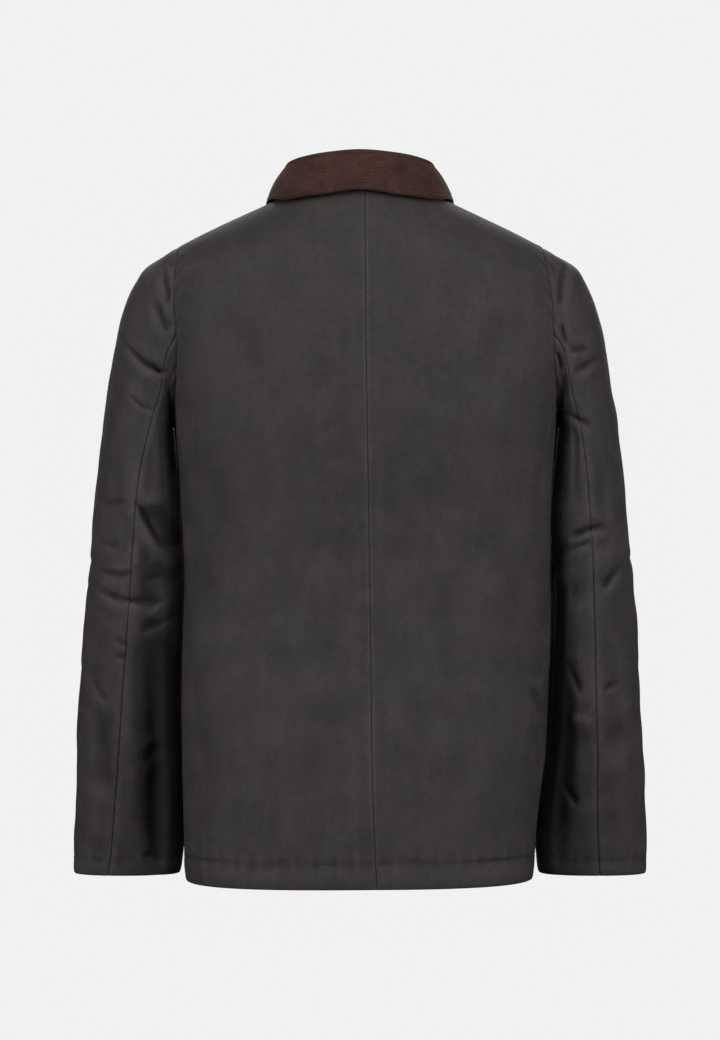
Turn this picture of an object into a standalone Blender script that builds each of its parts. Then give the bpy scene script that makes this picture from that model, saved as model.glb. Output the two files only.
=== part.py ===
"""Waxed cotton jacket: filled out as if worn, with no wearer in it.

Metres, +Z up. The garment's front faces -Y and its back +Y, so the wearer's left is +X.
The origin is at the middle of the neck opening, level with the points where the
shoulder seams meet the collar: the jacket hangs on the wearer's shoulders there.

Each sewn piece is one solid: two backs, two fronts, a top and an under sleeve for
each arm, and a folded collar. Five buttons close the fronts.
"""

import math

import bmesh
import bpy
import numpy as np
from mathutils import Matrix, Vector

MM = 0.001

# ---------------------------------------------------------------- named sizes
CLOTH = 1.6 * MM          # waxed cotton wall
COLLAR_WALL = 2.6 * MM    # corduroy upper collar on its under collar
SEAM_GAP = 0.4 * MM       # what two pieces keep between them at a seam
HEM_Z = -717 * MM       # level hem
LAP = 20 * MM             # how far each front passes the centre front
LAP_RISE = 1.5 * MM       # the left front is lifted and the right one lowered by this
NECK_SIDE, NECK_BACK, NECK_FRONT = 80 * MM, 68 * MM, 94 * MM   # neckline in plan
COLLAR_END = 176.5        # the collar stops just short of the centre front, degrees
LAP_STEP, LAP_STEP_END = 4 * MM, 182.0
DOME_BACK, DOME_FRONT = 76 * MM, 125 * MM   # how far the shoulders round over
ARM_TOP_X = 195 * MM      # shoulder tip, on the shoulder seam
ARM_LOW_Z = -236 * MM     # underarm point
ARM_BACK_Y, ARM_FRONT_Y = 70 * MM, 78 * MM  # armhole reach behind and in front
BODY_CLEAR = 4.5 * MM     # sleeve to body, where they hang side by side

# Shoulder line from the neck outwards.
RIDGE_COLUMNS = ("x", "z")
RIDGE = ((-40, 29.5), (0, 38), (40, 29.5), (80, 9.6), (102, -1), (122, -10.2), (150, -23.2),
         (176, -36), (198, -48), (222, -62), (260, -87))

# Level sections of the body: half widths to the wearer's left and right, depth
# behind and in front of the middle plane, where that plane is, squareness.
TORSO_COLUMNS = ("z", "left", "right", "back", "front", "mid", "square_back", "square_front")
TORSO = (
    (60, 218, 222, 92, 78, 0, 2.35, 2.1),
    (0, 218, 222, 99, 86, 0, 2.4, 2.15),
    (-50, 218, 222, 107, 100, 0, 2.5, 2.2),
    (-100, 216, 223, 116, 116, -3, 2.6, 2.3),
    (-150, 210, 222, 123, 130, -7, 2.7, 2.35),
    (-215, 200, 213, 126, 139, -10, 2.75, 2.4),
    (-278, 194, 206, 124, 141, -12, 2.7, 2.45),
    (-341, 190, 204, 119, 140, -13, 2.65, 2.45),
    (-430, 188.5, 203, 116, 139, -13, 2.65, 2.45),
    (-518, 190, 200.5, 119, 139, -12, 2.7, 2.5),
    (-585, 189.5, 197, 122, 139, -11, 2.7, 2.5),
    (-658, 187.5, 188.5, 123, 139, -10, 2.7, 2.5),
    (-718, 185.5, 184, 122, 139, -10, 2.85, 2.5),
)

# Centre back seam: it drifts to the wearer's right on its way down.
CENTRE_COLUMNS = ("z", "x")
CENTRE = ((20, -5), (-130, -6), (-300, -8.5), (-470, -11), (-590, -12.5), (-670, -15), (-716, -17.5))

# Sleeve sections from armhole to cuff. outer: silhouette side; gap and low_z:
# underarm side, gap counted from the body's side; then depth and squareness.
SLEEVE_COLUMNS = ("v", "outer_x", "outer_z", "gap", "low_z", "mid_y", "back", "front", "square")
SLEEVE = (
    (0.00, 195, -45, 0.0, -236, -6, 70, 78, 2.2),
    (0.035, 210, -54, 6.0, -236.5, -7, 70, 79, 2.2),
    (0.07, 228.5, -66, 3.5, -243, -9, 70, 80, 2.2),
    (0.11, 239, -80.5, 2.0, -250, -12, 71, 81, 2.2),
    (0.155, 249.5, -101, 0.5, -258, -16, 72, 82, 2.2),
    (0.20, 258, -126, -1.0, -266, -20, 74, 82, 2.15),
    (0.25, 265, -156, -2.5, -276, -25, 77, 82, 2.15),
    (0.31, 271, -193, -4.0, -291, -29, 79, 82, 2.1),
    (0.38, 277.5, -240, -5.5, -315, -32, 79, 81, 2.1),
    (0.46, 284, -297, -7.0, -350, -34, 77, 79, 2.1),
    (0.54, 290, -355, -8.0, -391, -36, 74, 77, 2.1),
    (0.63, 296, -423, -8.0, -446, -39, 70, 74, 2.1),
    (0.72, 301, -491, -7.0, -504, -43, 64, 70, 2.15),
    (0.81, 305, -561, -5.0, -565, -47, 57, 64, 2.2),
    (0.90, 308.5, -631, -2.0, -631, -51, 48, 55, 2.25),
    (0.96, 310.5, -685.5, 5.0, -685.5, -54, 41, 46, 2.3),
    (1.00, 310.5, -719, 11.0, -719, -55, 37, 41, 2.5),
)
# Sleeve seams, as turns round the sleeve from its top towards the back.
SEAM_COLUMNS = ("v", "back_left", "back_right", "front")
SEAMS = (
    (0, 90, 90, 234), (0.02, 95, 92.5, 234), (0.04, 102, 97, 234), (0.06, 107.5, 101.5, 234), (0.09, 111.5, 104.5, 234),
    (0.14, 111.5, 105, 234), (0.2, 107, 102, 233), (0.3, 98.5, 94.5, 232), (0.4, 89.5, 89.5, 230), (0.5, 86, 87, 228),
    (0.65, 83.5, 87, 225), (0.78, 81.5, 87.5, 223), (0.9, 78.5, 86.5, 222), (1.0, 77, 87, 222),
)
TOP_STEPS, UNDER_STEPS = 12, 8     # 18 degree steps of the armhole taken by each sleeve part

# Collar, by angle round the neck from the centre back: its fold out and up from
# the neckline; its fall's edge in plan, the lift of that edge off the cloth, and
# how much the fall bulges.
COLLAR_COLUMNS = ("angle", "fold_out", "fold_up", "edge_x", "edge_y", "lift", "bulge")
COLLAR = (
    (-30, 2.4, 34.0, -46, 82, 6.0, 2.0),
    (0, 3.6, 34.0, 0, 88.5, 6.8, 1.7),
    (30, 2.4, 34.0, 46, 82, 6.0, 2.0),
    (60, -0.8, 34.3, 83, 52, 4.5, 2.6),
    (90, -4.2, 32.0, 98, 4, 4.2, 3.0),
    (120, -3.0, 28.5, 100, -46, 5.0, 3.0),
    (145, 1.0, 25, 91, -87, 5.5, 3.0),
    (165, 5.0, 18, 70, -116, 5.5, 2.6),
    (180, 8.0, 12, 54, -133, 5.5, 2.2),
)
FOLD_HALF = 3.4 * MM      # half the collar's width over its fold, to the middle of the wall


def column(columns, table, name, at):
    """One column of a table, smoothly between its rows."""
    rows = np.array(table, float)
    xs, ys = rows[:, 0], rows[:, columns.index(name)]
    order = np.argsort(xs)
    xs, ys = xs[order], ys[order]
    slopes = np.gradient(ys, xs)
    at = np.clip(np.asarray(at, float), xs[0], xs[-1])
    i = np.clip(np.searchsorted(xs, at) - 1, 0, len(xs) - 2)
    h = xs[i + 1] - xs[i]
    t = (at - xs[i]) / h
    return ((2 * t**3 - 3 * t**2 + 1) * ys[i] + (t**3 - 2 * t**2 + t) * h * slopes[i]
            + (3 * t**2 - 2 * t**3) * ys[i + 1] + (t**3 - t**2) * h * slopes[i + 1])


def ridge(x):
    return column(RIDGE_COLUMNS, RIDGE, "z", np.abs(x) / MM) * MM


def torso(name, z):
    return column(TORSO_COLUMNS, TORSO, name, z / MM) * (1 if name.startswith("square") else MM)


def half_width(side, z):
    return torso("left" if side > 0 else "right", z)


def depth_at(face, side, x, z):
    """How far the body's surface is behind or in front of its middle plane."""
    t = np.clip((ridge(x) - z) / (DOME_BACK if face == "back" else DOME_FRONT), 0, 1)
    n = torso("square_" + face, z)
    round_off = np.clip(1 - (np.abs(x) / half_width(side, z)) ** n, 0, 1) ** (1 / n)
    return torso(face, z) * round_off * np.sqrt(np.clip(1 - (1 - t) ** 2, 0, 1))


def to_chart(face, side, x, z):
    """Flat place of a point of the body: turn round the body, way down from the shoulder line."""
    r = DOME_BACK if face == "back" else DOME_FRONT
    drop = np.maximum(ridge(x) - z, 0)
    down = np.where(drop < r, r * np.arccos(np.clip(1 - drop / r, -1, 1)), r * math.pi / 2 + drop - r)
    return np.stack([np.arcsin(np.clip(side * x / half_width(side, z), -1, 1)), down], -1)


def from_chart(face, side, chart):
    turn, down = chart[..., 0], np.maximum(chart[..., 1], 0)
    r = DOME_BACK if face == "back" else DOME_FRONT
    phi = np.minimum(down / r, math.pi / 2)
    drop = np.where(down < r * math.pi / 2, r * (1 - np.cos(phi)), r + down - r * math.pi / 2)
    x = np.full(turn.shape, 0.1)
    for _ in range(30):
        x = 0.5 * x + 0.5 * half_width(side, ridge(x) - drop) * np.abs(np.sin(turn))
    z = ridge(x) - drop
    n = torso("square_" + face, z)
    out = torso(face, z) * np.clip(1 - np.abs(np.sin(turn)) ** n, 0, 1) ** (1 / n) * np.sin(phi)
    y = torso("mid", z) + (out if face == "back" else -out)
    return np.stack([np.where(turn < 0, -side, side) * x, y, z], -1)


def steps_of(points):
    """Share of a polyline's length at each of its points."""
    along = np.concatenate([[0], np.cumsum(np.linalg.norm(np.diff(points, axis=0), axis=1))])
    return along / along[-1]


def at_shares(points, shares, wanted):
    return np.stack([np.interp(wanted, shares, points[:, k]) for k in range(points.shape[1])], -1)


def armhole(side, turns):
    """Armhole seam. turns: 0 at the shoulder tip, 90 degrees at the back, 180 underarm, 270 front."""
    c, s = np.cos(np.radians(turns)), np.sin(np.radians(turns))
    top = float(ridge(ARM_TOP_X))
    z = (top + ARM_LOW_Z) / 2 + (top - ARM_LOW_Z) / 2 * c
    reach = np.where(s >= 0, ARM_BACK_Y, ARM_FRONT_Y) * np.abs(s) ** 0.92
    low, high = np.full(z.shape, 0.05), half_width(side, z)
    for _ in range(50):
        x = (low + high) / 2
        deep = np.where(s >= 0, depth_at("back", side, x, z), depth_at("front", side, x, z))
        low, high = np.where(deep > reach, x, low), np.where(deep > reach, high, x)
    x = np.where(np.abs(s) < 1e-6, np.where(c > 0, ARM_TOP_X, half_width(side, z)), (low + high) / 2)
    return np.stack([side * x, torso("mid", z) + np.where(s >= 0, reach, -reach), z], -1)


def neckline(angles):
    """Neck seam. angles: 0 at centre back, 90 over the wearer's left shoulder, 180 at centre front.
    Past the collar's end, the top of the lap steps down to pass in front of the other side's collar."""
    a = np.radians(np.asarray(angles, float))
    x, out = NECK_SIDE * np.sin(a), np.where(np.cos(a) >= 0, NECK_BACK, NECK_FRONT) * np.cos(a)
    step = np.clip((np.degrees(a) - COLLAR_END) / (LAP_STEP_END - COLLAR_END), 0, 1)
    out = out - LAP_STEP * step * step * (3 - 2 * step)
    z = np.full(x.shape, 0.0)
    for _ in range(60):
        deep = np.where(out >= 0, torso("back", z), torso("front", z))
        n = np.where(out >= 0, torso("square_back", z), torso("square_front", z))
        r = np.where(out >= 0, DOME_BACK, DOME_FRONT)
        flat = np.clip(1 - (np.abs(x) / half_width(1, z)) ** n, 0, 1) ** (1 / n)
        g = np.clip(np.abs(out) / (deep * flat), 0, 0.9999)
        z = 0.5 * z + 0.5 * (ridge(x) - r * (1 - np.sqrt(1 - g * g)))
    return np.stack([x, torso("mid", z) + out, z], -1)


def neck_angles(face, side, fine=1):
    """Angles of a panel's neckline, from the middle to the shoulder, in the panel's own sense."""
    if face == "back":
        lead = math.degrees(math.asin(side * float(centre_line("back", side, 0.02)) / NECK_SIDE))
        marks = [lead, 15, 30, 45, 60, 75, 90]
    else:
        marks = [180 + math.degrees(math.asin(LAP / NECK_SIDE)), LAP_STEP_END, COLLAR_END, 163, 148, 133, 118, 104, 90]
    return np.interp(np.linspace(0, len(marks) - 1, fine * (len(marks) - 1) + 1), range(len(marks)), marks)


def cloth_height(x, y):
    """Height of the body's surface under a point in plan."""
    low, high = np.full(np.shape(x), -0.5), ridge(x)
    for _ in range(50):
        z = (low + high) / 2
        out = y - torso("mid", z)
        inside = np.abs(out) < np.where(out >= 0, depth_at("back", 1, x, z), depth_at("front", 1, x, z))
        low, high = np.where(inside, z, low), np.where(inside, high, z)
    return (low + high) / 2


def lifted(x, y, lift):
    """Height of a point that stands this far off the body's surface, over a place in plan."""
    d = 0.5 * MM
    gx = (cloth_height(x + d, y) - cloth_height(x - d, y)) / (2 * d)
    gy = (cloth_height(x, y + d) - cloth_height(x, y - d)) / (2 * d)
    return cloth_height(x, y) + lift * np.minimum(np.sqrt(1 + gx * gx + gy * gy), 5)


def centre_line(face, side, z):
    """Where a panel ends at the middle: centre back seam, or front edge past the centre."""
    if face == "back":
        return column(CENTRE_COLUMNS, CENTRE, "x", np.asarray(z) / MM) * MM
    return np.full(np.shape(z), -side * LAP)


def smooth_grid(chart, rounds):
    """Spreads a grid evenly inside its own border, so that no cell folds over at the neck or the armhole."""
    g = chart * np.array([0.15, 1.0])
    for _ in range(rounds):
        du, dv = (g[1:-1, 2:] - g[1:-1, :-2]) / 2, (g[2:, 1:-1] - g[:-2, 1:-1]) / 2
        a, b, c = ((p * q).sum(-1)[..., None] for p, q in ((dv, dv), (du, dv), (du, du)))
        skew = (g[2:, 2:] - g[2:, :-2] - g[:-2, 2:] + g[:-2, :-2]) / 4
        new = (a * (g[1:-1, 2:] + g[1:-1, :-2]) + c * (g[2:, 1:-1] + g[:-2, 1:-1]) - 2 * b * skew) / (2 * (a + c))
        g[1:-1, 1:-1] = 0.3 * g[1:-1, 1:-1] + 0.7 * new
    return g / np.array([0.15, 1.0])


def outer_edge(face, side, arm_steps, side_steps):
    """Armhole half, then side seam, in the chart."""
    turns = np.linspace(0, 180, arm_steps + 1)
    arm = armhole(side, turns if face == "back" else 360 - turns)
    side_z = np.linspace(ARM_LOW_Z, HEM_Z, side_steps + 1)[1:]
    seam = to_chart(face, side, side * half_width(side, side_z), side_z)
    edge = np.concatenate([to_chart(face, side, arm[:, 0], arm[:, 2]), seam])
    edge[arm_steps:, 0] = math.pi / 2
    return edge


def body_panel(face, side, fine=1, shoulder_steps=4, arm_steps=10, side_steps=11):
    """A back or front panel: rows from neck and shoulder to hem, columns from the middle to the side."""
    arm_steps, side_steps, shoulder_steps = arm_steps * fine, side_steps * fine, shoulder_steps * fine
    outer = outer_edge(face, side, arm_steps, side_steps)
    down = steps_of(from_chart(face, 1, outer_edge(face, 1, arm_steps, side_steps)))
    ring = neckline(neck_angles(face, side, fine))
    ring[:, 0] *= side
    seam_x = np.linspace(NECK_SIDE, ARM_TOP_X, shoulder_steps + 1)[1:]
    top = np.concatenate([to_chart(face, side, ring[:, 0], ring[:, 2]),
                          to_chart(face, side, side * seam_x, ridge(seam_x))])
    top[len(ring) - 1:, 1] = 0
    outer[0] = top[-1]
    # centre seam or front edge, spaced down like the outer edge
    z = np.linspace(float(ring[0, 2]), HEM_Z, 400)
    x = centre_line(face, side, z)
    x[0] = ring[0, 0]
    line = np.stack([x, depth_at(face, side, x, z), z], -1)
    line = at_shares(line, steps_of(line), down)
    middle = to_chart(face, side, line[:, 0], line[:, 2])
    middle[0] = top[0]
    # hem, level
    turn = np.linspace(middle[-1, 0], math.pi / 2, 400)
    hem = to_chart(face, side, side * half_width(side, np.full(400, HEM_Z)) * np.sin(turn), np.full(400, HEM_Z))
    hem[:, 0] = turn
    across = steps_of(from_chart(face, side, top))
    hem = at_shares(hem, steps_of(from_chart(face, side, hem)), np.linspace(0, 1, len(top)))
    u, v = np.linspace(0, 1, len(top))[None, :, None], down[:, None, None]
    chart = ((1 - u) * middle[:, None] + u * outer[:, None] + (1 - v) * top[None] + v * hem[None]
             - (1 - u) * (1 - v) * top[0] - u * (1 - v) * top[-1] - (1 - u) * v * hem[0] - u * v * hem[-1])
    chart = smooth_grid(chart, 260 * fine)
    points = from_chart(face, side, chart)
    if face == "front":
        inside = np.clip((LAP + 14 * MM - side * points[..., 0]) / (14 * MM), 0, 1)
        rise = side * LAP_RISE * inside * inside * (3 - 2 * inside)
        points = points + facing(points, np.array([0, 0, 0])) * rise[..., None]
    return points


def facing(points, centre):
    """Unit normals of a grid, on the side away from the centre (level with each point)."""
    n = np.cross(np.gradient(points, axis=1), np.gradient(points, axis=0))
    n /= np.maximum(np.linalg.norm(n, axis=-1, keepdims=True), 1e-12)
    away = (points - centre) * np.array([1, 1, 0])
    return n if (n * away).sum() > 0 else -n


def oval(side, v, turns):
    """A sleeve section from the table, before the armhole and the body shape it."""
    row = {name: float(column(SLEEVE_COLUMNS, SLEEVE, name, v)) for name in SLEEVE_COLUMNS[1:]}
    c, s = np.cos(np.radians(turns)), np.sin(np.radians(turns))
    low_z = row["low_z"] * MM
    outer = np.array([row["outer_x"] * MM, row["outer_z"] * MM])
    inner = np.array([float(half_width(side, low_z)) + row["gap"] * MM, low_z])
    along = np.sign(c) * np.abs(c) ** (2 / row["square"])
    across = np.sign(s) * np.abs(s) ** (2 / row["square"])
    xz = (outer + inner) / 2 + along[:, None] * (outer - inner) / 2
    y = row["mid_y"] * MM + np.where(s >= 0, row["back"], row["front"]) * MM * across
    return np.stack([side * xz[:, 0], y, xz[:, 1]], -1)


def clear_of_body(side, points, clear):
    """Sleeve points that would enter the body are moved out of it, to stand clear of it."""
    x, y, z = side * points[..., 0], points[..., 1], points[..., 2]
    mid, w = torso("mid", z), half_width(side, z)
    back = y >= mid
    d = np.where(back, torso("back", z), torso("front", z))
    n = np.where(back, torso("square_back", z), torso("square_front", z))
    size = ((np.abs(x) / w) ** n + (np.abs(y - mid) / d) ** n) ** (1 / n)
    radius = np.hypot(x, y - mid)
    need = radius / np.maximum(size, 1e-6) + clear * 1.1
    grow = np.where((z < ARM_LOW_Z + 30 * MM) & (radius < need), need / np.maximum(radius, 1e-6), 1)
    return np.stack([side * x * grow, mid + (y - mid) * grow, z], -1)


def sleeve_part(side, part, places, fine=1):
    """The top or under sleeve: a row for each place from armhole to cuff, columns from seam to seam."""
    back = "back_left" if side > 0 else "back_right"
    b, f = (float(column(SEAM_COLUMNS, SEAMS, name, 0)) for name in (back, "front"))
    steps = (TOP_STEPS if part == "top" else UNDER_STEPS) * fine
    first = np.linspace(*((f - 360, b) if part == "top" else (b, f)), steps + 1)
    seam, start = armhole(side, first % 360), oval(side, 0.0, first)
    rows = []
    for v in places:
        b, f = (float(column(SEAM_COLUMNS, SEAMS, name, v)) for name in (back, "front"))
        turns = np.linspace(*((f - 360, b) if part == "top" else (b, f)), steps + 1)
        if v == 0:
            rows.append(seam)
            continue
        keep = max(0.0, 1 - v / 0.16) ** 1.6
        ring = oval(side, v, turns) + keep * (seam - start)
        rows.append(clear_of_body(side, ring, BODY_CLEAR * min(1.0, v / 0.05)))
    return np.array(rows)


def collar_sheet(seam, angles, stand_steps=2, fold_steps=4, fall_steps=4):
    """Middle of the folded collar: rows round the neck, columns from the neck seam over the fold to the free edge."""
    get = lambda name: column(COLLAR_COLUMNS, COLLAR, name, np.abs(angles))[:, None] * MM
    up = np.array([0, 0, 1.0])
    a = np.radians(angles)
    out = np.stack([np.sin(a) / NECK_SIDE, np.cos(a) / np.where(np.cos(a) >= 0, NECK_BACK, NECK_FRONT), 0 * a], -1)
    out /= np.linalg.norm(out, axis=1, keepdims=True)
    fold = seam + out * get("fold_out") + up * get("fold_up")
    edge_x, edge_y = (np.sign(angles)[:, None] * get("edge_x"))[:, 0], get("edge_y")[:, 0]
    lift = get("lift")[:, 0]
    edge = np.stack([edge_x, edge_y, lifted(edge_x, edge_y, lift)], -1)
    inner, outer = fold - (out + up) * FOLD_HALF, fold + (out - up) * FOLD_HALF
    columns = [seam + (inner - seam) * t for t in np.linspace(0, 1, stand_steps + 1)]
    for t in np.linspace(0, math.pi, fold_steps + 1)[1:]:
        columns.append(fold + (-out * math.cos(t) + up * (math.sin(t) - 1)) * FOLD_HALF)
    down = edge - outer
    normal = np.cross(down, np.cross(out, up))
    normal /= np.linalg.norm(normal, axis=1, keepdims=True)
    normal *= np.sign((normal * (out + up)).sum(1, keepdims=True))
    for t in np.linspace(0, 1, fall_steps + 1)[1:]:
        columns.append(outer + down * t + normal * 4 * t * (1 - t) * get("bulge"))
    sheet = np.array(columns).transpose(1, 0, 2)
    for j in range(stand_steps + fold_steps, sheet.shape[1]):
        floor = lifted(sheet[:, j, 0], sheet[:, j, 1], lift)
        sheet[:, j, 2] = np.maximum(sheet[:, j, 2], floor)
    return sheet


def collar_seam(fronts, backs, fine=1):
    """Neck seam of the collar, from the left front round the back to the right front, and its angles."""
    lead = 2 * fine      # the fronts' first marks lie past the collar's end
    points, angles = [], []
    for side in (1, -1):
        n_front, n_back = 8 * fine, 6 * fine
        front, fa = fronts[side][0, lead:n_front + 1], neck_angles("front", side, fine)[lead:]
        back, ba = backs[side][0, :n_back + 1][::-1], neck_angles("back", side, fine)[::-1]
        p = np.concatenate([front, back[1:]])
        a = side * np.concatenate([fa, ba[1:]])
        points.append(p if side > 0 else p[::-1][1:])
        angles.append(a if side > 0 else a[::-1][1:])
    return np.concatenate(points), np.concatenate(angles)


# ------------------------------------------------------------------- solids
def cells(rows, cols):
    i, j = np.meshgrid(np.arange(rows - 1), np.arange(cols - 1), indexing="ij")
    a = (i * cols + j).ravel()
    return np.stack([a, a + 1, a + cols + 1, a + cols], -1)


def rim(rows, cols):
    """Indices round the edge of a grid."""
    top = [j for j in range(cols)]
    right = [i * cols + cols - 1 for i in range(1, rows)]
    bottom = [(rows - 1) * cols + j for j in range(cols - 2, -1, -1)]
    left = [i * cols for i in range(rows - 2, 0, -1)]
    return top + right + bottom + left


def corner_normals(points, quads):
    """Angle-weighted normals of each point."""
    total = np.zeros_like(points)
    for k in range(4):
        here, after, before = (points[quads[:, (k + d) % 4]] for d in (0, 1, -1))
        a, b = after - here, before - here
        a /= np.maximum(np.linalg.norm(a, axis=1, keepdims=True), 1e-12)
        b /= np.maximum(np.linalg.norm(b, axis=1, keepdims=True), 1e-12)
        angle = np.arccos(np.clip((a * b).sum(1), -1, 1))
        n = np.cross(a, b)
        n /= np.maximum(np.linalg.norm(n, axis=1, keepdims=True), 1e-12)
        np.add.at(total, quads[:, k], n * angle[:, None])
    return total


def build_pieces(sheets):
    """Solids of the pieces, mitred to one another where their edges meet."""
    data, shared = {}, {}
    for name, (grid, flip, wall) in sheets.items():
        rows, cols = grid.shape[:2]
        quads = cells(rows, cols)
        if flip:
            quads = quads[:, ::-1]
        points = grid.reshape(-1, 3)
        weighted = corner_normals(points, quads)
        data[name] = (points, quads, weighted, wall, rows, cols)
        for k in rim(rows, cols):
            key = tuple(np.round(points[k] / (0.05 * MM)).astype(int))
            shared[key] = shared.get(key, 0) + weighted[k]
    made = {}
    for name, (points, quads, weighted, wall, rows, cols) in data.items():
        own = weighted / np.linalg.norm(weighted, axis=1, keepdims=True)
        offset, moved = own.copy(), points.copy()
        edge = rim(rows, cols)
        for k in edge:
            total = shared[tuple(np.round(points[k] / (0.05 * MM)).astype(int))]
            mitre = total / np.linalg.norm(total)
            offset[k] = mitre / max(0.45, float(mitre @ own[k]))
        for spot, k in enumerate(edge):
            i, j = divmod(k, cols)
            before, after = points[edge[spot - 1]], points[edge[(spot + 1) % len(edge)]]
            inward = points[min(max(i, 1), rows - 2) * cols + min(max(j, 1), cols - 2)] - points[k]
            corner = i in (0, rows - 1) and j in (0, cols - 1)
            if corner:
                pull = (before - points[k]) / np.linalg.norm(before - points[k]) \
                    + (after - points[k]) / np.linalg.norm(after - points[k])
            else:
                tangent = (after - before) / np.linalg.norm(after - before)
                pull = inward - tangent * (inward @ tangent)
                pull /= np.linalg.norm(pull)
            moved[k] = points[k] + pull * SEAM_GAP / 2
        out, back = moved + offset * wall / 2, moved - offset * wall / 2
        count = len(points)
        faces = [tuple(q) for q in quads] + [tuple(q[::-1] + count) for q in quads]
        ordered = edge if tuple(edge[:2]) in edge_pairs(quads) else edge[::-1]
        for a, b in zip(ordered, ordered[1:] + ordered[:1]):
            faces.append((b, a, a + count, b + count))
        made[name] = (np.concatenate([out, back]), faces)
    return made


def edge_pairs(quads):
    return {(int(q[k]), int(q[(k + 1) % 4])) for q in quads for k in range(4)}


# -------------------------------------------------------------------- scene
SLOT_COLOURS = {
    "waxed_cotton": (0.042, 0.036, 0.036, 1), "collar_corduroy": (0.060, 0.030, 0.024, 1),
    "button_plastic": (0.022, 0.016, 0.013, 1),
}
BUTTON_COLUMNS = ("name", "z")
BUTTONS = (("button_1", -92), ("button_2", -219), ("button_3", -346), ("button_4", -473), ("button_5", -600))
BUTTON_R, BUTTON_THICK, HOLE_R, HOLE_OUT = 10 * MM, 3.6 * MM, 1.1 * MM, 2.2 * MM


def cleared():
    for kind in (bpy.data.objects, bpy.data.collections):
        for item in list(kind):
            kind.remove(item)
    kinds = {}
    for name in ("waxed_cotton_jacket", "helpers"):
        kinds[name] = bpy.data.collections.new(name)
        bpy.context.scene.collection.children.link(kinds[name])
    return kinds["waxed_cotton_jacket"], kinds["helpers"]


def painted(name, slot):
    """A material for one object, in the colour of its slot."""
    material = bpy.data.materials.new(name)
    material.use_nodes = True
    shader = material.node_tree.nodes["Principled BSDF"]
    shader.inputs["Base Color"].default_value = SLOT_COLOURS[slot]
    shader.inputs["Roughness"].default_value = 0.45 if slot == "button_plastic" else 0.7
    return material


def placed(name, mesh, slot, collection):
    obj = bpy.data.objects.new(name, mesh)
    collection.objects.link(obj)
    mesh.materials.clear()
    mesh.materials.append(painted(name, slot))
    return obj


def sheets_of():
    """Middle surface of each piece, whether its faces are turned round, and its wall."""
    places = [row[0] for row in SLEEVE]
    panels = {(face, side): body_panel(face, side) for face in ("back", "front") for side in (1, -1)}
    sheets = {}
    for side, word in ((1, "left"), (-1, "right")):
        for face in ("back", "front"):
            sheets[f"{face}_{word}"] = (panels[face, side], CLOTH)
        for part in ("top", "under"):
            sheets[f"sleeve_{word}_{part}"] = (sleeve_part(side, part, places), CLOTH)
    seam, angles = collar_seam({s: panels["front", s] for s in (1, -1)}, {s: panels["back", s] for s in (1, -1)})
    sheets["collar"] = (collar_sheet(seam, angles), COLLAR_WALL)
    turned = {}
    for name, (grid, wall) in sheets.items():
        n = np.cross(grid[:-1, 1:] - grid[1:, :-1], grid[1:, 1:] - grid[:-1, :-1])
        if name == "collar":
            n, here = n[:, :2], grid[:-1, :2]
            away = here * np.array([1, 1, 0])
        elif name.startswith("sleeve"):
            axis = np.array([0.5 * (p[0] + p[-1]) for p in grid])[:, None]
            away = (grid.mean(1, keepdims=True) - axis)[:-1] * np.ones((1, n.shape[1], 1))
        else:
            away = grid[:-1, :-1] * np.array([1, 1, 0])
        turned[name] = (grid, bool((n * away).sum() > 0), wall)
    return turned


def button(name, z, collection, helpers):
    """A four hole button on the outside of the left front, level with z."""
    spot = []
    for dz in (-1 * MM, 0.0, 1 * MM):
        at = np.array([z + dz])
        y = torso("mid", at) - depth_at("front", 1, np.array([0.0]), at) - LAP_RISE
        spot.append(Vector((0, float(y[0]), z + dz)))
    rise = (spot[2] - spot[0]).normalized()
    out = Vector((1, 0, 0)).cross(rise).normalized()
    if out.y > 0:
        out = -out
    turn = Matrix((Vector((1, 0, 0)), out.cross(Vector((1, 0, 0))), out)).transposed().to_4x4()
    turn.translation = spot[1] + out * (CLOTH / 2 + 0.5 * MM + BUTTON_THICK / 2)
    disc = bmesh.new()
    bmesh.ops.create_cone(disc, cap_ends=True, segments=24, radius1=BUTTON_R, radius2=BUTTON_R, depth=BUTTON_THICK)
    mesh = bpy.data.meshes.new(name)
    disc.to_mesh(mesh)
    disc.free()
    obj = placed(name, mesh, "button_plastic", collection)
    obj.matrix_world = turn
    bevel = obj.modifiers.new("rounded_rim", "BEVEL")
    bevel.width, bevel.segments, bevel.limit_method = 0.9 * MM, 2, "ANGLE"
    holes = bmesh.new()
    for k in range(4):
        a = math.radians(45 + 90 * k)
        bmesh.ops.create_cone(holes, cap_ends=True, segments=8, radius1=HOLE_R, radius2=HOLE_R, depth=4 * BUTTON_THICK,
                              matrix=Matrix.Translation((HOLE_OUT * math.cos(a), HOLE_OUT * math.sin(a), 0)))
    cut = bpy.data.meshes.new(name + "_holes")
    holes.to_mesh(cut)
    holes.free()
    cutter = bpy.data.objects.new(name + "_holes", cut)
    helpers.objects.link(cutter)
    cutter.matrix_world = turn
    cutter.hide_render, cutter.display_type = True, "WIRE"
    hole = obj.modifiers.new("thread_holes", "BOOLEAN")
    hole.operation, hole.solver, hole.object = "DIFFERENCE", "EXACT", cutter


def main():
    collection, helpers = cleared()
    for name, (points, faces) in build_pieces(sheets_of()).items():
        mesh = bpy.data.meshes.new(name)
        mesh.from_pydata([tuple(p) for p in points], [], [tuple(int(k) for k in f) for f in faces])
        mesh.update()
        placed(name, mesh, "collar_corduroy" if name == "collar" else "waxed_cotton", collection)
    for name, z in BUTTONS:
        button(name, z * MM, collection, helpers)


main()
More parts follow.
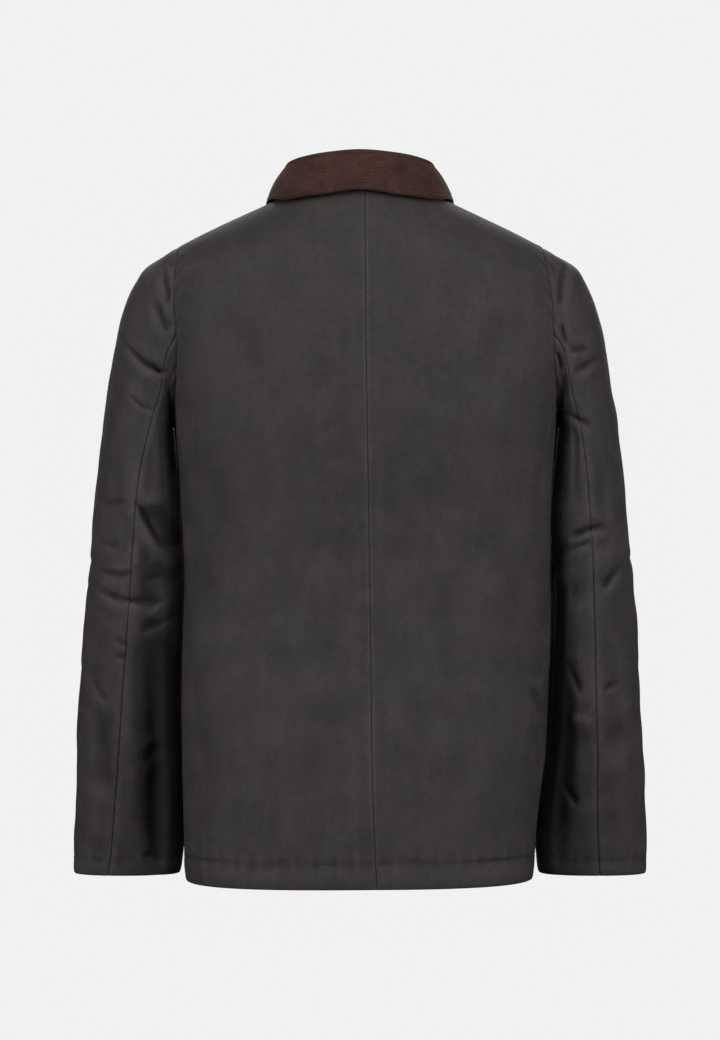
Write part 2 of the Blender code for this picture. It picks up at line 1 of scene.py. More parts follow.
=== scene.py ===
"""Looks of the waxed cotton jacket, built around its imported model.

Every cloth piece is a thin closed shell on the form of its CAD solid, with its
seams, turned hems and creases moved into the surface. Stitches, buttonholes and
buttons are pieces of their own.
"""

import math

import bpy
import numpy as np
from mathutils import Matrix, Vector


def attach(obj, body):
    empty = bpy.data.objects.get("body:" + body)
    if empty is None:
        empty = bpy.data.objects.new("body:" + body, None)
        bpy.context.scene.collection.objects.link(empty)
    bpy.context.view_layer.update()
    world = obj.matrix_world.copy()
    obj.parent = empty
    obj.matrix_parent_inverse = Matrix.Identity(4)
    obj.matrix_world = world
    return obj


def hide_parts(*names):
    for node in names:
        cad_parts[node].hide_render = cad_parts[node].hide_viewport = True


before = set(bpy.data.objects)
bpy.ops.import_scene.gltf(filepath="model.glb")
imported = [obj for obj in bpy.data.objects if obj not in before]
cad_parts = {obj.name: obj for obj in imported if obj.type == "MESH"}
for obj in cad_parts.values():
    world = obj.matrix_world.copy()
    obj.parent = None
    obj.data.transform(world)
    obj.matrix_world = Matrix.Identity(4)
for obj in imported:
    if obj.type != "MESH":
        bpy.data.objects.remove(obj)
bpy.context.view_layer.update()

MM = 0.001

# ---------------------------------------------------------------- named sizes
CLOTH = 1.6 * MM          # waxed cotton wall
COLLAR_WALL = 2.6 * MM    # corduroy upper collar on its under collar
SEAM_GAP = 0.4 * MM       # what two pieces keep between them at a seam
HEM_Z = -717 * MM       # level hem
LAP = 20 * MM             # how far each front passes the centre front
LAP_RISE = 1.5 * MM       # the left front is lifted and the right one lowered by this
NECK_SIDE, NECK_BACK, NECK_FRONT = 80 * MM, 68 * MM, 94 * MM   # neckline in plan
COLLAR_END = 176.5        # the collar stops just short of the centre front, degrees
LAP_STEP, LAP_STEP_END = 4 * MM, 182.0
DOME_BACK, DOME_FRONT = 76 * MM, 125 * MM   # how far the shoulders round over
ARM_TOP_X = 195 * MM      # shoulder tip, on the shoulder seam
ARM_LOW_Z = -236 * MM     # underarm point
ARM_BACK_Y, ARM_FRONT_Y = 70 * MM, 78 * MM  # armhole reach behind and in front
BODY_CLEAR = 4.5 * MM     # sleeve to body, where they hang side by side

# Shoulder line from the neck outwards.
RIDGE_COLUMNS = ("x", "z")
RIDGE = ((-40, 29.5), (0, 38), (40, 29.5), (80, 9.6), (102, -1), (122, -10.2), (150, -23.2),
         (176, -36), (198, -48), (222, -62), (260, -87))

# Level sections of the body: half widths to the wearer's left and right, depth
# behind and in front of the middle plane, where that plane is, squareness.
TORSO_COLUMNS = ("z", "left", "right", "back", "front", "mid", "square_back", "square_front")
TORSO = (
    (60, 218, 222, 92, 78, 0, 2.35, 2.1),
    (0, 218, 222, 99, 86, 0, 2.4, 2.15),
    (-50, 218, 222, 107, 100, 0, 2.5, 2.2),
    (-100, 216, 223, 116, 116, -3, 2.6, 2.3),
    (-150, 210, 222, 123, 130, -7, 2.7, 2.35),
    (-215, 200, 213, 126, 139, -10, 2.75, 2.4),
    (-278, 194, 206, 124, 141, -12, 2.7, 2.45),
    (-341, 190, 204, 119, 140, -13, 2.65, 2.45),
    (-430, 188.5, 203, 116, 139, -13, 2.65, 2.45),
    (-518, 190, 200.5, 119, 139, -12, 2.7, 2.5),
    (-585, 189.5, 197, 122, 139, -11, 2.7, 2.5),
    (-658, 187.5, 188.5, 123, 139, -10, 2.7, 2.5),
    (-718, 185.5, 184, 122, 139, -10, 2.85, 2.5),
)

# Centre back seam: it drifts to the wearer's right on its way down.
CENTRE_COLUMNS = ("z", "x")
CENTRE = ((20, -5), (-130, -6), (-300, -8.5), (-470, -11), (-590, -12.5), (-670, -15), (-716, -17.5))

# Sleeve sections from armhole to cuff. outer: silhouette side; gap and low_z:
# underarm side, gap counted from the body's side; then depth and squareness.
SLEEVE_COLUMNS = ("v", "outer_x", "outer_z", "gap", "low_z", "mid_y", "back", "front", "square")
SLEEVE = (
    (0.00, 195, -45, 0.0, -236, -6, 70, 78, 2.2),
    (0.035, 210, -54, 6.0, -236.5, -7, 70, 79, 2.2),
    (0.07, 228.5, -66, 3.5, -243, -9, 70, 80, 2.2),
    (0.11, 239, -80.5, 2.0, -250, -12, 71, 81, 2.2),
    (0.155, 249.5, -101, 0.5, -258, -16, 72, 82, 2.2),
    (0.20, 258, -126, -1.0, -266, -20, 74, 82, 2.15),
    (0.25, 265, -156, -2.5, -276, -25, 77, 82, 2.15),
    (0.31, 271, -193, -4.0, -291, -29, 79, 82, 2.1),
    (0.38, 277.5, -240, -5.5, -315, -32, 79, 81, 2.1),
    (0.46, 284, -297, -7.0, -350, -34, 77, 79, 2.1),
    (0.54, 290, -355, -8.0, -391, -36, 74, 77, 2.1),
    (0.63, 296, -423, -8.0, -446, -39, 70, 74, 2.1),
    (0.72, 301, -491, -7.0, -504, -43, 64, 70, 2.15),
    (0.81, 305, -561, -5.0, -565, -47, 57, 64, 2.2),
    (0.90, 308.5, -631, -2.0, -631, -51, 48, 55, 2.25),
    (0.96, 310.5, -685.5, 5.0, -685.5, -54, 41, 46, 2.3),
    (1.00, 310.5, -719, 11.0, -719, -55, 37, 41, 2.5),
)
# Sleeve seams, as turns round the sleeve from its top towards the back.
SEAM_COLUMNS = ("v", "back_left", "back_right", "front")
SEAMS = (
    (0, 90, 90, 234), (0.02, 95, 92.5, 234), (0.04, 102, 97, 234), (0.06, 107.5, 101.5, 234), (0.09, 111.5, 104.5, 234),
    (0.14, 111.5, 105, 234), (0.2, 107, 102, 233), (0.3, 98.5, 94.5, 232), (0.4, 89.5, 89.5, 230), (0.5, 86, 87, 228),
    (0.65, 83.5, 87, 225), (0.78, 81.5, 87.5, 223), (0.9, 78.5, 86.5, 222), (1.0, 77, 87, 222),
)
TOP_STEPS, UNDER_STEPS = 12, 8     # 18 degree steps of the armhole taken by each sleeve part

# Collar, by angle round the neck from the centre back: its fold out and up from
# the neckline; its fall's edge in plan, the lift of that edge off the cloth, and
# how much the fall bulges.
COLLAR_COLUMNS = ("angle", "fold_out", "fold_up", "edge_x", "edge_y", "lift", "bulge")
COLLAR = (
    (-30, 2.4, 34.0, -46, 82, 6.0, 2.0),
    (0, 3.6, 34.0, 0, 88.5, 6.8, 1.7),
    (30, 2.4, 34.0, 46, 82, 6.0, 2.0),
    (60, -0.8, 34.3, 83, 52, 4.5, 2.6),
    (90, -4.2, 32.0, 98, 4, 4.2, 3.0),
    (120, -3.0, 28.5, 100, -46, 5.0, 3.0),
    (145, 1.0, 25, 91, -87, 5.5, 3.0),
    (165, 5.0, 18, 70, -116, 5.5, 2.6),
    (180, 8.0, 12, 54, -133, 5.5, 2.2),
)
FOLD_HALF = 3.4 * MM      # half the collar's width over its fold, to the middle of the wall


COLUMNS = {}


def column(columns, table, name, at):
    """One column of a table, smoothly between its rows."""
    key = (id(table), name)
    if key not in COLUMNS:
        rows = np.array(table, float)
        rows = rows[np.argsort(rows[:, 0])]
        xs, ys = rows[:, 0], rows[:, columns.index(name)]
        COLUMNS[key] = (xs, ys, np.gradient(ys, xs))
    xs, ys, slopes = COLUMNS[key]
    at = np.minimum(np.maximum(np.asarray(at, float), xs[0]), xs[-1])
    i = np.minimum(np.maximum(np.searchsorted(xs, at) - 1, 0), len(xs) - 2)
    h = xs[i + 1] - xs[i]
    t = (at - xs[i]) / h
    return ((2 * t**3 - 3 * t**2 + 1) * ys[i] + (t**3 - 2 * t**2 + t) * h * slopes[i]
            + (3 * t**2 - 2 * t**3) * ys[i + 1] + (t**3 - t**2) * h * slopes[i + 1])


def ridge(x):
    return column(RIDGE_COLUMNS, RIDGE, "z", np.abs(x) / MM) * MM


def torso(name, z):
    return column(TORSO_COLUMNS, TORSO, name, z / MM) * (1 if name.startswith("square") else MM)


def half_width(side, z):
    return torso("left" if side > 0 else "right", z)


def depth_at(face, side, x, z):
    """How far the body's surface is behind or in front of its middle plane."""
    t = np.clip((ridge(x) - z) / (DOME_BACK if face == "back" else DOME_FRONT), 0, 1)
    n = torso("square_" + face, z)
    round_off = np.clip(1 - (np.abs(x) / half_width(side, z)) ** n, 0, 1) ** (1 / n)
    return torso(face, z) * round_off * np.sqrt(np.clip(1 - (1 - t) ** 2, 0, 1))


def to_chart(face, side, x, z):
    """Flat place of a point of the body: turn round the body, way down from the shoulder line."""
    r = DOME_BACK if face == "back" else DOME_FRONT
    drop = np.maximum(ridge(x) - z, 0)
    down = np.where(drop < r, r * np.arccos(np.clip(1 - drop / r, -1, 1)), r * math.pi / 2 + drop - r)
    return np.stack([np.arcsin(np.clip(side * x / half_width(side, z), -1, 1)), down], -1)


def from_chart(face, side, chart):
    turn, down = chart[..., 0], np.maximum(chart[..., 1], 0)
    r = DOME_BACK if face == "back" else DOME_FRONT
    phi = np.minimum(down / r, math.pi / 2)
    drop = np.where(down < r * math.pi / 2, r * (1 - np.cos(phi)), r + down - r * math.pi / 2)
    x = np.full(turn.shape, 0.1)
    for _ in range(30):
        x = 0.5 * x + 0.5 * half_width(side, ridge(x) - drop) * np.abs(np.sin(turn))
    z = ridge(x) - drop
    n = torso("square_" + face, z)
    out = torso(face, z) * np.clip(1 - np.abs(np.sin(turn)) ** n, 0, 1) ** (1 / n) * np.sin(phi)
    y = torso("mid", z) + (out if face == "back" else -out)
    return np.stack([np.where(turn < 0, -side, side) * x, y, z], -1)


def steps_of(points):
    """Share of a polyline's length at each of its points."""
    along = np.concatenate([[0], np.cumsum(np.linalg.norm(np.diff(points, axis=0), axis=1))])
    return along / along[-1]


def at_shares(points, shares, wanted):
    return np.stack([np.interp(wanted, shares, points[:, k]) for k in range(points.shape[1])], -1)


def armhole(side, turns):
    """Armhole seam. turns: 0 at the shoulder tip, 90 degrees at the back, 180 underarm, 270 front."""
    c, s = np.cos(np.radians(turns)), np.sin(np.radians(turns))
    top = float(ridge(ARM_TOP_X))
    z = (top + ARM_LOW_Z) / 2 + (top - ARM_LOW_Z) / 2 * c
    reach = np.where(s >= 0, ARM_BACK_Y, ARM_FRONT_Y) * np.abs(s) ** 0.92
    low, high = np.full(z.shape, 0.05), half_width(side, z)
    for _ in range(50):
        x = (low + high) / 2
        deep = np.where(s >= 0, depth_at("back", side, x, z), depth_at("front", side, x, z))
        low, high = np.where(deep > reach, x, low), np.where(deep > reach, high, x)
    x = np.where(np.abs(s) < 1e-6, np.where(c > 0, ARM_TOP_X, half_width(side, z)), (low + high) / 2)
    return np.stack([side * x, torso("mid", z) + np.where(s >= 0, reach, -reach), z], -1)


def neckline(angles):
    """Neck seam. angles: 0 at centre back, 90 over the wearer's left shoulder, 180 at centre front.
    Past the collar's end, the top of the lap steps down to pass in front of the other side's collar."""
    a = np.radians(np.asarray(angles, float))
    x, out = NECK_SIDE * np.sin(a), np.where(np.cos(a) >= 0, NECK_BACK, NECK_FRONT) * np.cos(a)
    step = np.clip((np.degrees(a) - COLLAR_END) / (LAP_STEP_END - COLLAR_END), 0, 1)
    out = out - LAP_STEP * step * step * (3 - 2 * step)
    z = np.full(x.shape, 0.0)
    for _ in range(60):
        deep = np.where(out >= 0, torso("back", z), torso("front", z))
        n = np.where(out >= 0, torso("square_back", z), torso("square_front", z))
        r = np.where(out >= 0, DOME_BACK, DOME_FRONT)
        flat = np.clip(1 - (np.abs(x) / half_width(1, z)) ** n, 0, 1) ** (1 / n)
        g = np.clip(np.abs(out) / (deep * flat), 0, 0.9999)
        z = 0.5 * z + 0.5 * (ridge(x) - r * (1 - np.sqrt(1 - g * g)))
    return np.stack([x, torso("mid", z) + out, z], -1)


def neck_angles(face, side, fine=1):
    """Angles of a panel's neckline, from the middle to the shoulder, in the panel's own sense."""
    if face == "back":
        lead = math.degrees(math.asin(side * float(centre_line("back", side, 0.02)) / NECK_SIDE))
        marks = [lead, 15, 30, 45, 60, 75, 90]
    else:
        marks = [180 + math.degrees(math.asin(LAP / NECK_SIDE)), LAP_STEP_END, COLLAR_END, 163, 148, 133, 118, 104, 90]
    return np.interp(np.linspace(0, len(marks) - 1, fine * (len(marks) - 1) + 1), range(len(marks)), marks)


def cloth_height(x, y):
    """Height of the body's surface under a point in plan."""
    low, high = np.full(np.shape(x), -0.5), ridge(x)
    for _ in range(50):
        z = (low + high) / 2
        out = y - torso("mid", z)
        inside = np.abs(out) < np.where(out >= 0, depth_at("back", 1, x, z), depth_at("front", 1, x, z))
        low, high = np.where(inside, z, low), np.where(inside, high, z)
    return (low + high) / 2


def lifted(x, y, lift):
    """Height of a point that stands this far off the body's surface, over a place in plan."""
    d = 0.5 * MM
    gx = (cloth_height(x + d, y) - cloth_height(x - d, y)) / (2 * d)
    gy = (cloth_height(x, y + d) - cloth_height(x, y - d)) / (2 * d)
    return cloth_height(x, y) + lift * np.minimum(np.sqrt(1 + gx * gx + gy * gy), 5)


def centre_line(face, side, z):
    """Where a panel ends at the middle: centre back seam, or front edge past the centre."""
    if face == "back":
        return column(CENTRE_COLUMNS, CENTRE, "x", np.asarray(z) / MM) * MM
    return np.full(np.shape(z), -side * LAP)


def smooth_grid(chart, rounds):
    """Spreads a grid evenly inside its own border, so that no cell folds over at the neck or the armhole."""
    g = chart * np.array([0.15, 1.0])
    for _ in range(rounds):
        du, dv = (g[1:-1, 2:] - g[1:-1, :-2]) / 2, (g[2:, 1:-1] - g[:-2, 1:-1]) / 2
        a, b, c = ((p * q).sum(-1)[..., None] for p, q in ((dv, dv), (du, dv), (du, du)))
        skew = (g[2:, 2:] - g[2:, :-2] - g[:-2, 2:] + g[:-2, :-2]) / 4
        new = (a * (g[1:-1, 2:] + g[1:-1, :-2]) + c * (g[2:, 1:-1] + g[:-2, 1:-1]) - 2 * b * skew) / (2 * (a + c))
        g[1:-1, 1:-1] = 0.3 * g[1:-1, 1:-1] + 0.7 * new
    return g / np.array([0.15, 1.0])


def outer_edge(face, side, arm_steps, side_steps):
    """Armhole half, then side seam, in the chart."""
    turns = np.linspace(0, 180, arm_steps + 1)
    arm = armhole(side, turns if face == "back" else 360 - turns)
    side_z = np.linspace(ARM_LOW_Z, HEM_Z, side_steps + 1)[1:]
    seam = to_chart(face, side, side * half_width(side, side_z), side_z)
    edge = np.concatenate([to_chart(face, side, arm[:, 0], arm[:, 2]), seam])
    edge[arm_steps:, 0] = math.pi / 2
    return edge


def borders(face, side, fine, shoulder_steps=4, arm_steps=10, side_steps=11):
    """The four edges of a back or front panel in the chart, and each row's share of the way down."""
    arm_steps, side_steps, shoulder_steps = arm_steps * fine, side_steps * fine, shoulder_steps * fine
    outer = outer_edge(face, side, arm_steps, side_steps)
    down = steps_of(from_chart(face, 1, outer_edge(face, 1, arm_steps, side_steps)))
    ring = neckline(neck_angles(face, side, fine))
    ring[:, 0] *= side
    seam_x = np.linspace(NECK_SIDE, ARM_TOP_X, shoulder_steps + 1)[1:]
    top = np.concatenate([to_chart(face, side, ring[:, 0], ring[:, 2]),
                          to_chart(face, side, side * seam_x, ridge(seam_x))])
    top[len(ring) - 1:, 1] = 0
    outer[0] = top[-1]
    z = np.linspace(float(ring[0, 2]), HEM_Z, 400)
    x = centre_line(face, side, z)
    x[0] = ring[0, 0]
    line = np.stack([x, depth_at(face, side, x, z), z], -1)
    line = at_shares(line, steps_of(line), down)
    middle = to_chart(face, side, line[:, 0], line[:, 2])
    middle[0] = top[0]
    turn = np.linspace(middle[-1, 0], math.pi / 2, 400)
    hem = to_chart(face, side, side * half_width(side, np.full(400, HEM_Z)) * np.sin(turn), np.full(400, HEM_Z))
    hem[:, 0] = turn
    hem = at_shares(hem, steps_of(from_chart(face, side, hem)), np.linspace(0, 1, len(top)))
    return middle, outer, top, hem, down


def coons(middle, outer, top, hem, down):
    u, v = np.linspace(0, 1, len(top))[None, :, None], down[:, None, None]
    return ((1 - u) * middle[:, None] + u * outer[:, None] + (1 - v) * top[None] + v * hem[None]
            - (1 - u) * (1 - v) * top[0] - u * (1 - v) * top[-1] - (1 - u) * v * hem[0] - u * v * hem[-1])


def upsampled(grid, times):
    """A grid with each step cut in times, on smooth curves through its points."""
    for axis in (0, 1):
        g = np.moveaxis(grid, axis, 0)
        n = len(g)
        padded = np.concatenate([2 * g[:1] - g[1:2], g, 2 * g[-1:] - g[-2:-1]])
        at = np.linspace(0, n - 1, (n - 1) * times + 1)
        k = np.minimum(at.astype(int), n - 2)
        t = (at - k).reshape((-1,) + (1,) * (g.ndim - 1))
        p0, p1, p2, p3 = (padded[k + d] for d in range(4))
        grid = np.moveaxis(0.5 * (2 * p1 + (p2 - p0) * t + (2 * p0 - 5 * p1 + 4 * p2 - p3) * t**2
                                  + (3 * p1 - p0 - 3 * p2 + p3) * t**3), 0, axis)
    return grid


def body_panel(face, side, fine):
    """A back or front panel: rows from neck and shoulder to hem, columns from the middle to the side."""
    rough = coons(*borders(face, side, 2))
    chart = coons(*borders(face, side, fine)) + upsampled(smooth_grid(rough, 520) - rough, fine // 2)
    points = from_chart(face, side, chart)
    if face == "front":
        inside = np.clip((LAP + 14 * MM - side * points[..., 0]) / (14 * MM), 0, 1)
        rise = side * LAP_RISE * inside * inside * (3 - 2 * inside)
        points = points + facing(points, np.array([0, 0, 0])) * rise[..., None]
    return points


def facing(points, centre):
    """Unit normals of a grid, on the side away from the centre (level with each point)."""
    n = np.cross(np.gradient(points, axis=1), np.gradient(points, axis=0))
    n /= np.maximum(np.linalg.norm(n, axis=-1, keepdims=True), 1e-12)
    away = (points - centre) * np.array([1, 1, 0])
    return n if (n * away).sum() > 0 else -n


def oval(side, v, turns):
    """A sleeve section from the table, before the armhole and the body shape it."""
    row = {name: float(column(SLEEVE_COLUMNS, SLEEVE, name, v)) for name in SLEEVE_COLUMNS[1:]}
    c, s = np.cos(np.radians(turns)), np.sin(np.radians(turns))
    low_z = row["low_z"] * MM
    outer = np.array([row["outer_x"] * MM, row["outer_z"] * MM])
    inner = np.array([float(half_width(side, low_z)) + row["gap"] * MM, low_z])
    along = np.sign(c) * np.abs(c) ** (2 / row["square"])
    across = np.sign(s) * np.abs(s) ** (2 / row["square"])
    xz = (outer + inner) / 2 + along[:, None] * (outer - inner) / 2
    y = row["mid_y"] * MM + np.where(s >= 0, row["back"], row["front"]) * MM * across
    return np.stack([side * xz[:, 0], y, xz[:, 1]], -1)


def clear_of_body(side, points, clear):
    """Sleeve points that would enter the body are moved out of it, to stand clear of it."""
    x, y, z = side * points[..., 0], points[..., 1], points[..., 2]
    mid, w = torso("mid", z), half_width(side, z)
    back = y >= mid
    d = np.where(back, torso("back", z), torso("front", z))
    n = np.where(back, torso("square_back", z), torso("square_front", z))
    size = ((np.abs(x) / w) ** n + (np.abs(y - mid) / d) ** n) ** (1 / n)
    radius = np.hypot(x, y - mid)
    need = radius / np.maximum(size, 1e-6) + clear * 1.1
    grow = np.where((z < ARM_LOW_Z + 30 * MM) & (radius < need), need / np.maximum(radius, 1e-6), 1)
    return np.stack([side * x * grow, mid + (y - mid) * grow, z], -1)


def sleeve_part(side, part, places, fine=1):
    """The top or under sleeve: a row for each place from armhole to cuff, columns from seam to seam."""
    back = "back_left" if side > 0 else "back_right"
    b, f = (float(column(SEAM_COLUMNS, SEAMS, name, 0)) for name in (back, "front"))
    steps = (TOP_STEPS if part == "top" else UNDER_STEPS) * fine
    first = np.linspace(*((f - 360, b) if part == "top" else (b, f)), steps + 1)
    seam, start = armhole(side, first % 360), oval(side, 0.0, first)
    rows = []
    for v in places:
        b, f = (float(column(SEAM_COLUMNS, SEAMS, name, v)) for name in (back, "front"))
        turns = np.linspace(*((f - 360, b) if part == "top" else (b, f)), steps + 1)
        if v == 0:
            rows.append(seam)
            continue
        keep = max(0.0, 1 - v / 0.16) ** 1.6
        ring = oval(side, v, turns) + keep * (seam - start)
        rows.append(clear_of_body(side, ring, BODY_CLEAR * min(1.0, v / 0.05)))
    return np.array(rows)


def collar_sheet(seam, angles, stand_steps=2, fold_steps=4, fall_steps=4):
    """Middle of the folded collar: rows round the neck, columns from the neck seam over the fold to the free edge."""
    get = lambda name: column(COLLAR_COLUMNS, COLLAR, name, np.abs(angles))[:, None] * MM
    up = np.array([0, 0, 1.0])
    a = np.radians(angles)
    out = np.stack([np.sin(a) / NECK_SIDE, np.cos(a) / np.where(np.cos(a) >= 0, NECK_BACK, NECK_FRONT), 0 * a], -1)
    out /= np.linalg.norm(out, axis=1, keepdims=True)
    fold = seam + out * get("fold_out") + up * get("fold_up")
    edge_x, edge_y = (np.sign(angles)[:, None] * get("edge_x"))[:, 0], get("edge_y")[:, 0]
    lift = get("lift")[:, 0]
    edge = np.stack([edge_x, edge_y, lifted(edge_x, edge_y, lift)], -1)
    inner, outer = fold - (out + up) * FOLD_HALF, fold + (out - up) * FOLD_HALF
    columns = [seam + (inner - seam) * t for t in np.linspace(0, 1, stand_steps + 1)]
    for t in np.linspace(0, math.pi, fold_steps + 1)[1:]:
        columns.append(fold + (-out * math.cos(t) + up * (math.sin(t) - 1)) * FOLD_HALF)
    down = edge - outer
    normal = np.cross(down, np.cross(out, up))
    normal /= np.linalg.norm(normal, axis=1, keepdims=True)
    normal *= np.sign((normal * (out + up)).sum(1, keepdims=True))
    for t in np.linspace(0, 1, fall_steps + 1)[1:]:
        columns.append(outer + down * t + normal * 4 * t * (1 - t) * get("bulge"))
    sheet = np.array(columns).transpose(1, 0, 2)
    for j in range(stand_steps + fold_steps, sheet.shape[1]):
        floor = lifted(sheet[:, j, 0], sheet[:, j, 1], lift)
        sheet[:, j, 2] = np.maximum(sheet[:, j, 2], floor)
    return sheet


def collar_seam(fronts, backs, fine=1):
    """Neck seam of the collar, from the left front round the back to the right front, and its angles."""
    lead = 2 * fine      # the fronts' first marks lie past the collar's end
    points, angles = [], []
    for side in (1, -1):
        n_front, n_back = 8 * fine, 6 * fine
        front, fa = fronts[side][0, lead:n_front + 1], neck_angles("front", side, fine)[lead:]
        back, ba = backs[side][0, :n_back + 1][::-1], neck_angles("back", side, fine)[::-1]
        p = np.concatenate([front, back[1:]])
        a = side * np.concatenate([fa, ba[1:]])
        points.append(p if side > 0 else p[::-1][1:])
        angles.append(a if side > 0 else a[::-1][1:])
    return np.concatenate(points), np.concatenate(angles)

# ------------------------------------------------------------ surface detail
FINE, SLEEVE_FINE = 8, 11     # steps of the fine grids in each step of the CAD grid
CAMERA_Y, CAMERA_Z = 3.0, -0.336
HEM_BAND, CUFF_BAND = 28 * MM, 17 * MM


def seen(points):
    """Where a point of the back appears on the middle plane from the camera's distance, in mm."""
    k = CAMERA_Y / (CAMERA_Y - points[..., 1])
    return np.stack([points[..., 0] * k, (points[..., 2] - CAMERA_Z) * k + CAMERA_Z], -1) / MM


def smooth(t):
    t = np.clip(t, 0, 1)
    return t * t * (3 - 2 * t)


def spline(points, steps=10):
    """A smooth curve through a few points of a crease."""
    p = np.array(points, float)
    if len(p) == 2:
        p = np.array([p[0], p.mean(0), p[1]])
    p = np.concatenate([2 * p[:1] - p[1:2], p, 2 * p[-1:] - p[-2:-1]])
    out = []
    for k in range(1, len(p) - 2):
        t = np.linspace(0, 1, steps, endpoint=False)[:, None]
        out.append(0.5 * (2 * p[k] + (p[k + 1] - p[k - 1]) * t + (2 * p[k - 1] - 5 * p[k] + 4 * p[k + 1] - p[k + 2]) * t**2
                          + (3 * p[k] - p[k - 1] - 3 * p[k + 1] + p[k + 2]) * t**3))
    return np.concatenate(out + [p[-2:-1]])


def crease_heights(at, table):
    """Height in mm that a table of creases adds at flat places, in mm."""
    shape = at.shape[:-1]
    at = at.reshape(-1, 2)
    height = np.zeros(len(at))
    for kind, width, depth, lip, lip_side, points in table:
        line = spline(points)
        reach = 4.2 * width
        near = np.flatnonzero(((at > line.min(0) - reach) & (at < line.max(0) + reach)).all(1))
        if not len(near):
            continue
        p, a, step = at[near], line[:-1], np.diff(line, axis=0)
        length = np.linalg.norm(step, axis=1)
        along = np.concatenate([[0], np.cumsum(length)])
        rel = p[:, None] - a[None]
        t = np.clip((rel * step).sum(-1) / length**2, 0, 1)
        off = rel - t[..., None] * step
        far = np.linalg.norm(off, axis=-1)
        best = far.argmin(1)
        rows = np.arange(len(p))
        d = far[rows, best]
        side = np.sign(step[best, 0] * off[rows, best, 1] - step[best, 1] * off[rows, best, 0])
        s = (along[best] + t[rows, best] * length[best]) / along[-1]
        strength = depth * smooth(np.minimum(s, 1 - s) / 0.3)
        if kind == "ridge" or width > 9:
            body = np.exp(-(d / width) ** 1.8)
        else:              # a fold drops steeply on its lip's side and climbs gently on the other
            steep = np.where(side * lip_side > 0, 0.42, 1.25) * width
            body = 0.5 * np.exp(-(d / steep) ** 1.6) + 0.5 * np.exp(-(d / (0.36 * width)) ** 1.4)
        lips = 0.5 * lip * np.exp(-((side * lip_side * d - 1.5 * width) / (0.9 * width)) ** 2)
        height[near] += strength * ((body if kind == "ridge" else lips - body))
    return height.reshape(shape)


def ripple(points, seed, wavelength, count=7, stretch=(1, 1, 1)):
    """A gentle unevenness of about unit size, the same on every run."""
    rng = np.random.default_rng(seed)
    total = np.zeros(points.shape[:-1])
    for _ in range(count):
        direction = rng.normal(size=3) * np.array(stretch)
        direction /= np.linalg.norm(direction)
        k = 2 * math.pi / (wavelength * rng.uniform(0.6, 1.6))
        total += np.sin((points @ direction) * k + rng.uniform(0, 2 * math.pi))
    return total / math.sqrt(count)


def lengths(points, axis):
    """Distance along grid lines from the start of an axis."""
    d = np.linalg.norm(np.diff(points, axis=axis), axis=-1)
    pad = [(0, 0), (0, 0)]
    pad[axis] = (1, 0)
    return np.pad(np.cumsum(d, axis=axis), pad)


def edge_distances(points):
    """Distance of each grid point from the left, right, top and bottom edges."""
    across, down = lengths(points, 1), lengths(points, 0)
    return across, across[:, -1:] - across, down, down[-1:] - down


def resampled(grid, rows, cols):
    """A grid at fractional rows and columns, on smooth curves."""
    for axis, at in ((0, rows), (1, cols)):
        g = np.moveaxis(grid, axis, 0)
        n = len(g)
        padded = np.concatenate([2 * g[:1] - g[1:2], g, 2 * g[-1:] - g[-2:-1]])
        k = np.minimum(np.asarray(at).astype(int), n - 2)
        t = (np.asarray(at) - k).reshape((-1,) + (1,) * (g.ndim - 1))
        p0, p1, p2, p3 = (padded[k + d] for d in range(4))
        grid = np.moveaxis(0.5 * (2 * p1 + (p2 - p0) * t + (2 * p0 - 5 * p1 + 4 * p2 - p3) * t**2
                                  + (3 * p1 - p0 - 3 * p2 + p3) * t**3), 0, axis)
    return grid


def denser(count, low=(), high=(), extra=()):
    """Grid lines 0..count with more of them near each end, where seams need them."""
    at = set(range(count + 1)) | {float(x) for x in low} | {float(count - x) for x in high} | {float(x) for x in extra}
    return np.array(sorted(at))


def unit(v):
    return v / np.maximum(np.linalg.norm(v, axis=-1, keepdims=True), 1e-12)


def grid_normals(points, like, closed=False):
    """Normals of a grid, on the side that another set of normals faces."""
    if closed:
        du = np.roll(points, -1, axis=1) - np.roll(points, 1, axis=1)
    else:
        du = np.gradient(points, axis=1)
    n = unit(np.cross(du, np.gradient(points, axis=0)))
    return n * np.where((n * like).sum() > 0, 1.0, -1.0)


